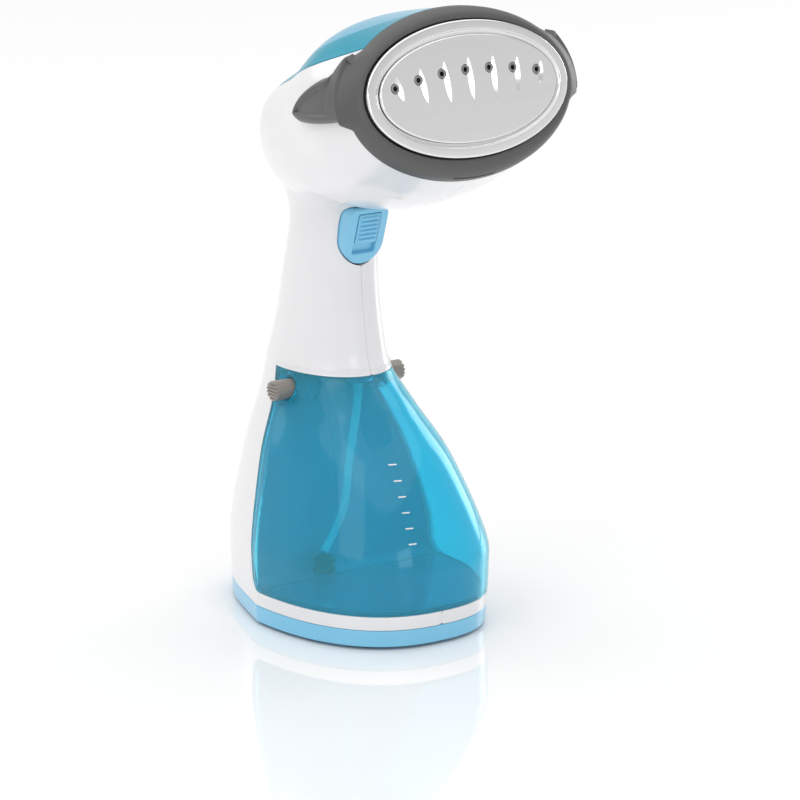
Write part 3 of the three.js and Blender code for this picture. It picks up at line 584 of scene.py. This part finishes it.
def below_cover(points, gap=0.0):
    """Distance above the cover's lower edge, less a gap: negative on the housing's side."""
    _, y, z = xyz(points)
    return (z - (COVER_EDGE - COVER_SLOPE * y - gap)) * COVER_COS


def tank_rear(z):
    share = np.maximum(0, (z - TANK_BOTTOM) / (TANK_TOP - TANK_BOTTOM))
    return TANK_REAR_LOW + (TANK_REAR_HIGH - TANK_REAR_LOW) * share ** 1.3


def tank_zone(points, grow=0.0, rear=None):
    """Distance to the tank's place in the side view, negative inside."""
    _, y, z = xyz(points)
    rear = grow if rear is None else rear
    radius = TANK_CORNER + grow
    a = TANK_BOTTOM - grow + radius - z
    b = y - tank_rear(z) - rear + radius
    corner = np.where((a > 0) & (b > 0), np.hypot(a, b), np.maximum(a, b)) - radius
    return np.maximum(corner, z - TANK_TOP - grow)


def tank_profile(grow, rear, parts, margin=1.1):
    """Side-view line round the tank's place: bottom, rear and top, as asked."""
    low, high, radius = TANK_BOTTOM - grow, TANK_TOP + grow, TANK_CORNER + grow
    back = tank_rear(low + radius) + rear
    line = []
    if "bottom" in parts:
        line += [(y, low) for y in np.linspace(front_y(low) + margin, back - radius, 60)[:-1]]
    if "rear" in parts:
        for angle in np.linspace(0, math.pi / 2, 12):
            turned_y = back - radius + radius * math.sin(angle)
            line.append((turned_y, low + radius - radius * math.cos(angle)))
        line += [(tank_rear(z) + rear, z) for z in np.linspace(low + radius, high, 50)[1:]]
    if "top" in parts:
        start = tank_rear(high) + rear
        line += [(y, high) for y in np.linspace(start, front_y(high) + margin, 40)]
    line = np.array(line)
    steps = np.linalg.norm(np.diff(line, axis=0), axis=1)
    keep = np.concatenate([[True], steps > 1e-6])
    return line[keep]


def ruled(profile, inset, side=0, middle=0.2):
    """A surface across the object along a side-view line, as far as the inset skin."""
    length = lengths_along(profile)

    def surface(along, across):
        y = np.interp(along * length[-1], length, profile[:, 0])
        z = np.interp(along * length[-1], length, profile[:, 1])
        reach = half_width(y, z, inset)
        x = side * (middle + across * (reach - middle)) if side else across * reach
        return np.stack([x, y, z], -1)
    return surface


def round_hole(x, y, at, radius):
    return radius - np.hypot(x - at[0], y - at[1])


def round_holes(x, y, places, radius):
    return np.max([round_hole(x, y, at, radius) for at in places], axis=0)


def on_trigger_local(points):
    return (points - TRIGGER_FACE) @ TRIGGER_AXES.T


def trigger_outline(margin):
    half = TRIGGER_HALF + margin
    arc = [
        (half * math.cos(angle), -5 + (10 + margin) * math.sin(angle))
        for angle in np.linspace(math.pi, TAU, 28)
    ]
    corner = [(half - 3.2, 13), (half - 1.7, 12.6), (half - 0.6, 11.5), (half, 9.6)]
    mirrored = [(-x, z) for x, z in corner]
    return [(x, z + margin) for x, z in corner[::-1] + mirrored] + arc


def trigger_slot(points):
    x, y, z = xyz(on_trigger_local(points))
    near = polygon_distance(x, z, trigger_outline(SLOT_CLEARANCE))
    near = np.maximum(near, points[..., 2] - SLOT_TOP)
    return np.maximum(near, y - SLOT_DEPTH)


# ---------------------------------------- housing, cover and tray

def housing_field(side):
    def field(points):
        x, y, z = xyz(points)
        gland_hole = round_hole(x, z, (0, GLAND_Z), GLAND_HOLE)
        value = np.maximum(TRAY_TOP + GAP - z, below_cover(points, GAP))
        value = np.maximum(value, -tank_zone(points, TANK_GAP))
        value = np.maximum(value, -trigger_slot(points))
        value = np.maximum(value, np.where(y > GLAND_AHEAD, gland_hole, UNCUT))
        value = np.maximum(value, SEAM - side * x)
        if side > 0:
            value = np.maximum(value, round_holes(y, z, HOUSING_SCREWS, SCREW_HOLE))
        return value
    return field


def ceiling_field(points):
    x, y, z = xyz(points)
    holes = np.maximum(round_hole(x, y, FILLER, 9), round_hole(x, y, PORT, 6.2))
    return np.where(z > TANK_TOP, holes, UNCUT)


def skin_side(y, z, near=9):
    """How far out the right of the skin stands at places close together in the side view."""
    grid = np.meshgrid(np.linspace(0.05, 0.95, 700), np.linspace(0.2, 2.95, 500), indexing="ij")
    samples = skin()(*grid).reshape(-1, 3)
    samples = samples[np.hypot(samples[:, 1] - y.mean(), samples[:, 2] - z.mean()) < near]
    apart = np.hypot(y[:, None] - samples[:, 1], z[:, None] - samples[:, 2])
    return samples[apart.argmin(1), 0]


def screw_well(y, z):
    """The sunk cup that a housing screw's head sits in. Its mouth follows the skin."""
    outer = 15.0
    ring = rounded([(SCREW_HOLE, 9.2), (SCREW_HOLE, outer), (5.0, outer), (5.0, 8.0),
                    (1.9, 8.0), (1.9, 9.2)], 0.2, 3, True)
    points, faces = lathe(ring[::-1], 48, loop=True)
    placed = np.column_stack([points[:, 2], points[:, 0] + y, points[:, 1] + z])
    mouth = placed[:, 0] > outer - 1.5
    placed[mouth, 0] += skin_side(placed[mouth, 1], placed[mouth, 2]) - outer - 0.8
    return placed, faces


REACH = 0.06  # radians past the middle plane, trimmed back by the seam
for side, name in SIDES:
    turn = (-REACH, math.pi + REACH) if side > 0 else (math.pi - REACH, TAU + REACH)
    outside = shell(skin(), (0.02, MOUTH_END), turn, (320, 150), housing_field(side), 0.07, 2.3,
                    sign=-1)
    line = tank_profile(GAP, GAP, ("bottom", "rear", "top"))
    bulkhead = shell(ruled(line, 0.45, side), (0, 1), (0, 1), (180, 60), ceiling_field, 0.15, 2.2,
                     sign=-side)
    parts = [outside, bulkhead]
    if side > 0:
        parts += [screw_well(y, z) for y, z in HOUSING_SCREWS]
    piece(f"{name}_housing_form", merge(*parts), f"{name}_housing")

cover = shell(skin(), (0.72, MOUTH_END), (0, TAU), (150, 340), lambda p: -below_cover(p),
              0.25, 3.0, wrap=True, sign=-1)
piece("top_cover_form", cover, "top_cover")
# The cover's upper part is painted lighter: painted sheen for the sky it reflects, over its own
# teal lower band
paint_sheen_above_plane(FINISHES["teal_plastic"], BAND_COLOR, COVER_SHEEN_COLOR,
       (0, COVER_SLOPE * COVER_COS + BAND_GROWTH, COVER_COS),
       (COVER_EDGE * COVER_COS + BAND_GROWTH * BAND_REAR) * MM)

TRAY_FRONT, TRAY_LENGTH, TRAY_MARGIN = -56.0, 135, 1.2


def tray_floor(share, across):
    y = TRAY_FRONT + TRAY_MARGIN + share * (TRAY_LENGTH - 2 * TRAY_MARGIN)
    z = np.full(np.shape(y), TRAY_BOTTOM)
    return np.stack([across * half_width(y, z, 0.95), y, z], -1)


def tray_holes(points):
    x, y, _ = xyz(points)
    feet = round_holes(x, y, FEET, 5.3)
    return np.maximum(feet, round_holes(x, y, BASE_SCREWS, SCREW_HOLE))


def tray_band(points):
    _, _, z = xyz(points)
    return np.maximum(TRAY_BOTTOM - z, z - TRAY_TOP)


tray = merge(
    shell(skin(), (0, 0.036), (0, TAU), (30, 420), tray_band, 0.45, 2.4, wrap=True, sign=-1),
    shell(tray_floor, (0, 1), (-1, 1), (190, 130), tray_holes, 0.2, 2.4),
)
piece("base_tray_form", tray, "base_tray")


def stood_at(mesh, at):
    return mesh[0] + np.asarray(at, float), mesh[1]


foot_pad = lathe(rounded([(0, 0), (4.8, 0), (5, 0.5), (5, 2), (0, 2)], 0.4))
for number, (x, y) in enumerate(FEET, 1):
    piece(f"foot_{number}_form", stood_at(foot_pad, (x, y, 0)), f"foot_{number}")


def disc_field(radius):
    return lambda points: np.hypot(points[..., 0], points[..., 1]) - radius


def screw_mesh(length):
    """A pan-head screw with a cross recess, its head at the origin and facing down."""
    def face(x, y):
        arm = np.minimum(np.abs(x), np.abs(y))
        recess = smoothstep(0.75 - arm, 0, 0.35) * smoothstep(2.2 - np.hypot(x, y), 0, 0.5)
        return np.stack([x, y, 0.9 * recess], -1)
    head = shell(face, (-3.6, 3.6), (-3.6, 3.6), (56, 56), disc_field(3.4), 0.5, 1.9, sign=-1,
                 facing=DOWN)
    turns = [(0, 1.8)]
    for z in np.arange(1.8, length - 1, 0.6):
        turns += [(1.5, z), (1.5, z + 0.1), (1.2, z + 0.3), (1.2, z + 0.4)]
    return merge(head, lathe(turns + [(0.8, length), (0, length)], 32))


base_screw = screw_mesh(11)
for number, (x, y) in enumerate(BASE_SCREWS, 1):
    piece(f"base_screw_{number}_form", stood_at(base_screw, (x, y, 2.2)), f"base_screw_{number}")
points, faces = screw_mesh(14)
for number, (y, z) in enumerate(HOUSING_SCREWS, 1):
    turned = np.column_stack([11.2 - points[:, 2], y + points[:, 1], z + points[:, 0]])
    piece(f"housing_screw_{number}_form", (turned, faces), f"housing_screw_{number}")

gland_line = [(3, 0), (6, 0), (6, 9.4), (7.6, 9.4), (7.2, 11.4), (3.8, 11.4), (3, 10.6)]
points, faces = lathe(rounded(gland_line, 0.45, 4, True), 72, loop=True)
turned = np.column_stack([points[:, 0], 70.9 + points[:, 2], GLAND_Z - points[:, 1]])
piece("cord_gland_form", (turned, faces), "cord_gland")


# ---------------------------------------- water tank

def on_button(points, side, start=0):
    """Turns points along Z to point out of the tank's side at the release button."""
    x, y, z = points.T
    return np.column_stack([side * (start + z), BUTTON_Y + y, BUTTON_Z - side * x])


def tank_field(points):
    _, y, z = xyz(points)
    button_hole = round_hole(y, z, (BUTTON_Y, BUTTON_Z), BUTTON_R + 0.4)
    return np.maximum(tank_zone(points, 0, -TANK_BACK), button_hole)


def tank_top_field(points):
    x, y, _ = xyz(points)
    return np.maximum(round_hole(x, y, FILLER, 7.4), round_hole(x, y, PORT, 5.3))


def button_cup(side):
    inner, outer = BUTTON_R + 1.4, BUTTON_R + 2.4
    ring = rounded([(0.6, 12.6), (outer, 12.6), (outer, 25.4), (inner, 25.4), (inner, 14.4),
                    (0.6, 14.4)], 0.3, 3, True)
    points, faces = lathe(ring, 56, loop=True)
    return on_button(points, side), faces


def well(at, radius, low, high, wall):
    """A round collar under the tank's top."""
    outer = radius + wall
    ring = rounded([(radius, low), (radius, high), (outer, high), (outer, low)], 0.2, 3, True)
    points, faces = lathe(ring[::-1], 64, loop=True)
    return points + [at[0], at[1], 0], faces


tank_skin = shell(skin(), (0.03, 0.37), (0, TAU), (180, 360), tank_field, 0.35, TANK_WALL,
                  wrap=True, sign=-1)
floor_line = tank_profile(0, 0, ("bottom",), 2.4)
lid_line = tank_profile(0, -TANK_BACK, ("top",), 2.4)
tank_floor = shell(ruled(floor_line, SLAB_INSET), (0, 1), (-1, 1), (110, 90))
tank_lid = shell(ruled(lid_line, SLAB_INSET), (0, 1), (-1, 1), (90, 70), tank_top_field)
piece("tank_shell_form", merge(
    tank_skin, tank_floor, tank_lid, button_cup(1), button_cup(-1),
    well(FILLER, 5.8, 105.5, 109.1, 3.2), well(PORT, 5.3, 107.5, 109.8, 1.7)), "tank_shell")
rear_line = tank_profile(0, 0, ("rear",))
tank_wall = shell(ruled(rear_line, 0.35), (0, 1), (-1, 1), (130, 110), lip=0.3)
piece("tank_back_form", tank_wall, "tank_back")


plug_line = [(0, 0), (4.6, 0), (5.5, 1), (5.5, 5.4), (7, 5.4), (7, 7.8), (4.2, 7.8), (3.6, 6.6),
             (0, 6.6)]
piece("filler_plug_form", stood_at(lathe(rounded(plug_line, 0.35)), (*FILLER, 104)), "filler_plug")
valve_line = [(0, 0), (2, 0), (2, 4.6), (5, 4.6), (5, 9.8), (2.4, 9.8), (1.6, 8.6), (0, 8.6)]
piece("tank_valve_form", stood_at(lathe(rounded(valve_line, 0.3), 56), (*PORT, 102)), "tank_valve")

hose_path = [(0, 8, 101.7), (-1, 8, 92), (-5, 8, 70), (-7, 9, 50), (-11, 11.5, 37),
             (-17, 10.5, 29.2)]
piece("suction_hose_form", sweep(hose_path, 1.9, 120, 28), "suction_hose")
filter_line = [(0, 0), (4.6, 0), (5.2, 1), (5.2, 2.6), (4.4, 3.2), (4.4, 5.2), (5.2, 5.8),
               (5.2, 7.2), (2.6, 8.4), (0, 8.4)]
suction_filter = stood_at(lathe(rounded(filter_line, 0.35)), (-17, 10.5, 19.4))
piece("suction_filter_form", suction_filter, "suction_filter")


def level_mark(centre, half_length=1.8, half_height=0.26):
    """A short printed bar on the outside of the tank."""
    x, z = centre

    def field(points):
        along, _, height = xyz(points)
        return np.maximum(np.abs(along - x) - half_length, np.abs(height - z) - half_height)
    level = np.interp(z, HEIGHT_TABLE, LEVEL_TABLE)
    angle = TAU - math.asin(min(0.99, abs(x) / half_width(-5.0, z)))
    return shell(skin(-0.04), (level - 0.012, level + 0.012), (angle - 0.4, angle + 0.35), (70, 90),
                 field, 0.03, 0.1, sign=-1)


MARK_TOP, MARK_BOTTOM, MARK_COUNT = (-11.2, 79.5), (-13.4, 47.5), 6
marks = [
    level_mark([a + (b - a) * i / (MARK_COUNT - 1) for a, b in zip(MARK_TOP, MARK_BOTTOM)])
    for i in range(MARK_COUNT)
]
piece("level_marks", merge(*marks), "tank_shell", stands_for=False, slot="white_plastic")


# ---------------------------------------- release buttons

def button_mesh(side):
    length = BUTTON_OUT - BUTTON_IN

    def face(x, y):
        groove = np.zeros(np.shape(x))
        for k in range(-2, 3):
            groove = np.maximum(groove, smoothstep(0.45 - np.abs(x - 1.5 * k), 0, 0.25))
        return np.stack([x, y, length - 0.6 * groove], -1)
    cap = shell(face, (-4.8, 4.8), (-4.8, 4.8), (110, 60), disc_field(BUTTON_R), 0.8, length - 0.5,
                facing=UP)
    flange = lathe(rounded([(0, -2), (BUTTON_R + 0.95, -2), (BUTTON_R + 0.95, 0), (0, 0)], 0.2), 56)
    points, faces = merge(cap, flange)
    return on_button(points, side, BUTTON_IN), faces


for side, name in SIDES:
    piece(f"release_button_{name}_form", button_mesh(side), f"release_button_{name}")


# ---------------------------------------- trigger and its lock

WINDOW_X, WINDOW_LOW, WINDOW_HIGH, WINDOW_DEPTH = 6.0, -9.5, 10.5, 2.6


def box_distance(x, y, half_x, low, high, radius=0.0):
    a = np.abs(x) - half_x + radius
    b = np.maximum(low - y, y - high) + radius
    return np.hypot(np.maximum(a, 0), np.maximum(b, 0)) + np.minimum(np.maximum(a, b), 0) - radius


def trigger_face(x, z):
    crown = 0.5 * (x / TRIGGER_HALF) ** 2 + 0.25 * ((z - 2) / 13) ** 2
    return np.stack([x, crown, z], -1)


def trigger_field(points):
    x, _, z = xyz(points)
    outline = polygon_distance(x, z, trigger_outline(0))
    top = on_trigger(points)[..., 2] - TRIGGER_TOP
    window = -box_distance(x, z, WINDOW_X, WINDOW_LOW, WINDOW_HIGH, 1.0)
    return np.maximum(np.maximum(outline, top), window)


trigger_cap = shell(trigger_face, (-10.6, 10.6), (-15.4, 13.4), (150, 200), trigger_field, 0.6, 9.4,
                    facing=AHEAD)
trigger_floor = shell(lambda x, z: np.stack([x, np.full(np.shape(x), WINDOW_DEPTH), z], -1),
                      (-6.3, 6.3), (-9.8, 10.8), (12, 16), None, 0, 2.0)
points, faces = merge(trigger_cap, trigger_floor)
piece("trigger_form", (on_trigger(points), faces), "trigger")

LOCK_LOW, LOCK_HIGH, LOCK_X, RIBS = -4.4, 10.2, 5.7, 6
RIB_PITCH = (LOCK_HIGH - LOCK_LOW - 1.4) / RIBS


def lock_face(x, z):
    rib = np.zeros(np.shape(x))
    for k in range(RIBS):
        middle = LOCK_LOW + 0.9 + RIB_PITCH * (k + 0.5)
        rib = np.maximum(rib, smoothstep(0.8 - np.abs(z - middle), 0, 0.5))
    rib = rib * smoothstep(5.0 - np.abs(x), 0, 0.5)
    return np.stack([x, 0.1 - 1.0 * rib, z], -1)


lock = shell(lock_face, (-LOCK_X, LOCK_X), (LOCK_LOW, LOCK_HIGH), (60, 150),
             lambda p: box_distance(p[..., 0], p[..., 2], LOCK_X, LOCK_LOW, LOCK_HIGH, 0.9),
             0.3, 2.3, facing=AHEAD)
piece("trigger_lock_form", (on_trigger(lock[0]), lock[1]), "trigger_lock")


# ---------------------------------------- springs

def coil(radius, wire, length, turns):
    """A compression spring standing on the origin along Z."""
    angle = np.linspace(0, TAU * turns, 24 * turns + 1)
    rise = wire + (length - 2 * wire) * angle / angle[-1]
    centre_line = np.column_stack([radius * np.cos(angle), radius * np.sin(angle), rise])
    return sweep(centre_line, wire, 48 * turns, 10)


RELEASE_SPRING_FOOT, RELEASE_SPRING_LENGTH, RELEASE_SPRING_SHUT = 14.7, 4.8, 1.8
points, faces = coil(3.4, 0.3, RELEASE_SPRING_LENGTH, 2)
for side, name in SIDES:
    turned = on_button(points, side, RELEASE_SPRING_FOOT)
    spring = piece(f"release_spring_{name}_form", (turned, faces), f"release_spring_{name}")
    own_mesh(spring)

TRIGGER_SPRING_Y, TRIGGER_SPRING_Z = 11.8, 177.0
TRIGGER_SPRING_LENGTH, TRIGGER_SPRING_SHUT = 5.6, 4.2
points, faces = coil(2.6, 0.4, TRIGGER_SPRING_LENGTH, 4)
x, y, z = points.T
turned = np.column_stack([x, TRIGGER_SPRING_Y + z, TRIGGER_SPRING_Z - y])
spring = piece("trigger_spring_form", (turned, faces), "trigger_spring")
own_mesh(spring)


# ---------------------------------------- steam plate and nozzles

NOZZLES = range(-3, 4)
NOZZLE_PITCH = 12.5
PANEL_X, PANEL_Y, PANEL_CROWN, LEAF_SLOPE = PLATE_X - 7.0, PLATE_Y - 7.0, 0.36, 0.4


def nozzle_place(index):
    x = index * NOZZLE_PITCH - 1
    return x, 8.2 - 0.0029 * x * x


def leaf_depth(x, y, index):
    """A leaf-shaped groove beside a steam hole: steep on the left, a long slope up on the right."""
    root = index * NOZZLE_PITCH + 1.0
    top, bottom = 13.9 - 0.0038 * root * root, -6.3 + 0.0027 * root * root
    share = np.clip((y - bottom) / (top - bottom), 0, 1)
    bulge = 2.2 * np.sin(math.pi * share) ** 0.75
    across = x - root * (1 + 0.0045 * (y - 4)) + 0.3 * bulge
    left = smoothstep(across, -0.4 * bulge - 0.02, -0.4 * bulge + 0.35)
    right = 1 - np.clip((across + 0.1 * bulge) / (1.1 * bulge + 0.02), 0, 1)
    return np.minimum(left, right) * LEAF_SLOPE * 1.1 * bulge


def ellipse_level(x, y, a, b):
    return np.hypot(x / a, y / b)


def panel(x, y):
    height = 0.62 + PANEL_CROWN * (1 - ellipse_level(x, y, PANEL_X, PANEL_Y) ** 2)
    sunk = np.max([leaf_depth(x, y, index) for index in NOZZLES], axis=0)
    return np.stack([x, y, height - sunk], -1)


def panel_field(points):
    x, y, _ = xyz(points)
    oval = (ellipse_level(x, y, PANEL_X + 0.1, PANEL_Y + 0.1) - 1) * 24
    return np.maximum(oval, round_holes(x, y, map(nozzle_place, NOZZLES), 2.3))


def oval_rows(rows, sides=300, loop=False):
    """Stacked ovals given as (half width, half height, z, centre y)."""
    angle = np.linspace(0, TAU, sides, endpoint=False)
    points = np.concatenate([
        np.column_stack([a * np.cos(angle), y + b * np.sin(angle), np.full(sides, z)])
        for a, b, z, y in rows
    ])
    return points, [face[::-1] for face in grid_faces(len(rows), sides, wrap_rows=loop)]


PLATE_STEPS = [
    (0, -2.6), (0, -0.95), (0.08, -0.55), (0.3, -0.2), (0.7, -0.06), (1.4, 0.04), (2.8, 0.14),
    (3.9, 0.2), (4.15, 0.16), (4.35, -0.05), (4.5, -0.35), (4.75, -0.52), (5.5, -0.56),
    (5.75, -0.6), (5.85, -1.5), (6.2, -1.5), (6.3, -0.25), (6.45, 0.2), (6.65, 0.47),
    (6.85, 0.6), (7.15, 0.62), (7.15, -1.9), (4.0, -2.6),
]
flange = oval_rows([(PLATE_X - s, PLATE_Y - s, z, 0) for s, z in PLATE_STEPS], 320, loop=True)
face = shell(panel, (-47, 47), (-23.4, 23.4), (470, 234), panel_field, 0.12, 1.6, facing=UP)
points, faces = merge(flange, face)
piece("steam_plate_form", (on_plate(points), faces), "steam_plate")

eyelet_line = [(0.95, -2.4), (2.12, -2.4), (2.12, 0.75), (1.7, 1.03), (1.25, 0.95), (0.95, 0.55)]
eyelet = lathe(rounded(eyelet_line, 0.22, 4, True), 56, loop=True)
for number, index in enumerate(NOZZLES, 1):
    points, faces = stood_at(eyelet, (*nozzle_place(index), 0))
    piece(f"steam_nozzle_{number}_form", (on_plate(points), faces), f"steam_nozzle_{number}",
          slot="cast_aluminium")


# ---------------------------------------- bezel ring and clip ears

# half width, half height, z, centre y, how far the ears swell it, depth of the slit
RING = [
    (58.5, 37.75, -9.0, -1.2, 5.7, 0), (58.5, 37.6, -8.6, -1.2, 5.4, 0),
    (58.4, 37.4, -7.6, -1.15, 4.6, 0), (58.2, 37.2, -6.5, -1.1, 3.7, 0),
    (58.15, 37.15, -6.35, -1.1, 3.6, 0), (58.1, 37.1, -6.2, -1.1, 3.5, 1.5),
    (57.8, 36.7, -5.1, -1.0, 2.5, 1.5), (57.75, 36.6, -4.95, -1.0, 2.4, 0),
    (57.5, 36.2, -4.2, -0.9, 1.7, 0), (56.9, 35.2, -3.1, -0.75, 0.9, 0),
    (56.1, 34.0, -2.2, -0.6, 0.35, 0), (55.4, 32.9, -1.75, -0.4, 0.1, 0),
    (54.7, 31.8, -1.65, -0.2, 0, 0), (54.2, 31.0, -1.67, -0.1, 0, 0),
    (53.85, 30.5, -1.83, 0, 0, 0), (53.6, 30.2, -2.15, 0, 0, 0), (53.6, 30.2, -5.2, 0, 0, 0),
    (49.6, 26.3, -5.2, 0, 0, 0), (49.6, 26.3, -8.7, 0, 0, 0),
]
SLIT_HALF = 10.5
EAR_FROM, EAR_TO = (-11.5, -7.5), (18.5, 23)  # heights over which the swelling starts and ends
EAR_NEAR_X = 44  # the ears stay further out than this


def ring_mesh(sides=420):
    angle = np.linspace(0, TAU, sides, endpoint=False)
    rows = []
    for a, b, z, y, swell, slit in RING:
        up = y + b * np.sin(angle)
        at_ear = smoothstep(up, *EAR_FROM) * (1 - smoothstep(up, *EAR_TO))
        wide = np.abs(a * np.cos(angle))
        in_slit = smoothstep(SLIT_HALF - wide, -0.4, 0.4) * (up < 0)
        x = (a + swell * at_ear) * np.cos(angle)
        rows.append(np.column_stack([x, up + slit * in_slit, np.full(sides, z)]))
    faces = [face[::-1] for face in grid_faces(len(RING), sides, wrap_rows=True)]
    return np.concatenate(rows), faces


def ear_outline(inside):
    """The ear in the side view, or the outline a little inside it."""
    return curve_points(
        (-80, 246 + inside), (-66, 244 + inside), ((-49, 240 + inside), (-34, 239 + inside)),
        ((-23 - inside, 239 + inside), (-24 - inside, 243)),
        ((-32, 253 - inside), (-49, 261.5 - inside)),
        ((-57, 263.5 - inside), (-58.5, 268 - inside)),
        ((-60, 273 - inside), (-64, 275.5 - inside)), (-76, 279 - inside))


EAR, THUMB_REST = ear_outline(0), ear_outline(4.2)
EAR_STAND, EAR_SINK, EAR_FLARE, EAR_EDGE_FLARE = 1.9, 1.5, 3.8, 2.3


def raised_skin(stand, flare):
    """The skin moved outwards, and further at its front end."""
    return skin(lambda share: -(stand + flare * smoothstep(share, 0.8, 1)))


def ear_surface(along, angle):
    """Stands off the skin, more towards the front, with a thumb rest sunk inside its rim."""
    outer = raised_skin(EAR_STAND, EAR_FLARE)(along, angle)
    low = raised_skin(0.5 * EAR_STAND, EAR_EDGE_FLARE)(along, angle)
    inside = -polygon_distance(outer[..., 1], outer[..., 2], EAR)
    outer = low + (outer - low) * smoothstep(inside, -0.5, 2.4)[..., None]
    sunk = raised_skin(EAR_STAND - EAR_SINK, EAR_FLARE)(along, angle)
    rest = polygon_distance(outer[..., 1], outer[..., 2], THUMB_REST)
    sink = smoothstep(-rest, -0.5, 0.9) * smoothstep(outer[..., 1], -60, -57.5)
    return outer + (sunk - outer) * sink[..., None]


def ear_field(points):
    x, y, z = xyz(points)
    return np.maximum(polygon_distance(y, z, EAR), EAR_NEAR_X - np.abs(x))


def ear_wall(points):
    return EAR_STAND - 0.3 + 3.2 * smoothstep(-points[:, 1], 38, 72)


ears = [shell(ear_surface, (0.78, 1.0), span, (190, 190), ear_field, 0.9, ear_wall, sign=-1)
        for span in ((0.2, math.pi - 0.2), (math.pi + 0.2, TAU - 0.2))]
ring = ring_mesh()
piece("bezel_ring_form", merge((on_plate(ring[0]), ring[1]), *ears), "bezel_ring")


# ---------------------------------------- floor, lights and camera

OVERHEAD_STRENGTH, OVERHEAD_SPREAD = 1.6, math.radians(100)
HORIZON_STRENGTH, ZENITH_STRENGTH, ZENITH_FROM = 0.86, 0.5, 0.8
AIM_HEIGHT = 0.145
FLOOR_RADIUS, FLOOR_THICKNESS, FLOOR_DROP = 9, 0.01, 0.0005


def facing_along(direction):
    return direction.to_track_quat("-Z", "Y").to_euler()


def area_light(name, at, size, power):
    light = bpy.data.lights.new(name, "AREA")
    light.shape = "RECTANGLE"
    light.size, light.size_y = size
    light.energy = power
    lamp = bpy.data.objects.new(name, light)
    lamp.location = at
    lamp.rotation_euler = facing_along(Vector((0, 0, AIM_HEIGHT)) - Vector(at))
    bpy.context.scene.collection.objects.link(lamp)


def floor():
    profile = [(0, 0), (0.6, 0), (2, 0), (FLOOR_RADIUS, 0), (FLOOR_RADIUS, -FLOOR_THICKNESS),
               (0, -FLOOR_THICKNESS)]
    points, faces = lathe(profile, 96)
    data = bpy.data.meshes.new("studio_floor")
    data.from_pydata(points.tolist(), [], faces)
    data.materials.append(finish("floor_paint", (0.90, 0.90, 0.90), 0.035, spread=0.005, bump=0.002,
                                 grain=120.0, rough_spread=0.01))
    shape = bpy.data.objects.new("studio_floor", data)
    shape.location.z = -FLOOR_DROP
    bpy.context.scene.collection.objects.link(shape)


floor()
area_light("key_softbox", (-1.7, -0.5, 1.4), (1.0, 1.6), 6)
area_light("front_softbox", (-0.22, -2.0, 0.72), (0.7, 0.7), 3)
area_light("side_strip", (1.9, 0.42, 0.55), (0.6, 1.05), 6)
area_light("rear_softbox", (-0.6, 1.8, 1.2), (1.6, 1.2), 5)

overhead = bpy.data.lights.new("overhead_panel", "SUN")
overhead.energy = OVERHEAD_STRENGTH
overhead.angle = OVERHEAD_SPREAD
overhead_lamp = bpy.data.objects.new("overhead_panel", overhead)
bpy.context.scene.collection.objects.link(overhead_lamp)

world = bpy.data.worlds.new("studio_world")
world.use_nodes = True
tree = world.node_tree
sky = tree.nodes["Background"]
direction = tree.nodes.new("ShaderNodeTexCoord")
height = tree.nodes.new("ShaderNodeSeparateXYZ")
fade = tree.nodes.new("ShaderNodeMapRange")
fade.inputs["From Min"].default_value = 0.0
fade.inputs["From Max"].default_value = ZENITH_FROM
fade.inputs["To Min"].default_value = HORIZON_STRENGTH
fade.inputs["To Max"].default_value = ZENITH_STRENGTH
tree.links.new(direction.outputs["Generated"], height.inputs["Vector"])
tree.links.new(height.outputs["Z"], fade.inputs["Value"])
tree.links.new(fade.outputs["Result"], sky.inputs["Strength"])
sky.inputs["Color"].default_value = (1, 1, 1, 1)
bpy.context.scene.world = world
bpy.context.scene.view_settings.view_transform = "Standard"

CAMERA_AZIMUTH, CAMERA_ELEVATION = math.radians(-35), math.radians(13.5)
CAMERA_DISTANCE, CAMERA_LENS, CAMERA_SENSOR = 2.1, 211.2, 36
AIM_RIGHT, AIM_DOWN = 0.0143, 0.0436  # the object stands left of the middle and above it
level = math.cos(CAMERA_ELEVATION)
back = Vector((math.sin(CAMERA_AZIMUTH) * level, -math.cos(CAMERA_AZIMUTH) * level,
               math.sin(CAMERA_ELEVATION)))
right = Vector((math.cos(CAMERA_AZIMUTH), math.sin(CAMERA_AZIMUTH), 0))
up = back.cross(right)
centre = Vector((0, ORIGIN_Y * MM, AIM_HEIGHT))
camera = bpy.data.cameras.new("camera")
camera.sensor_width = CAMERA_SENSOR
camera.lens = CAMERA_LENS
camera.clip_start = 0.05
camera_object = bpy.data.objects.new("camera", camera)
camera_object.location = centre + back * CAMERA_DISTANCE
aim = centre + right * AIM_RIGHT - up * AIM_DOWN
camera_object.rotation_euler = facing_along(aim - camera_object.location)
bpy.context.scene.collection.objects.link(camera_object)
bpy.context.scene.camera = camera_object
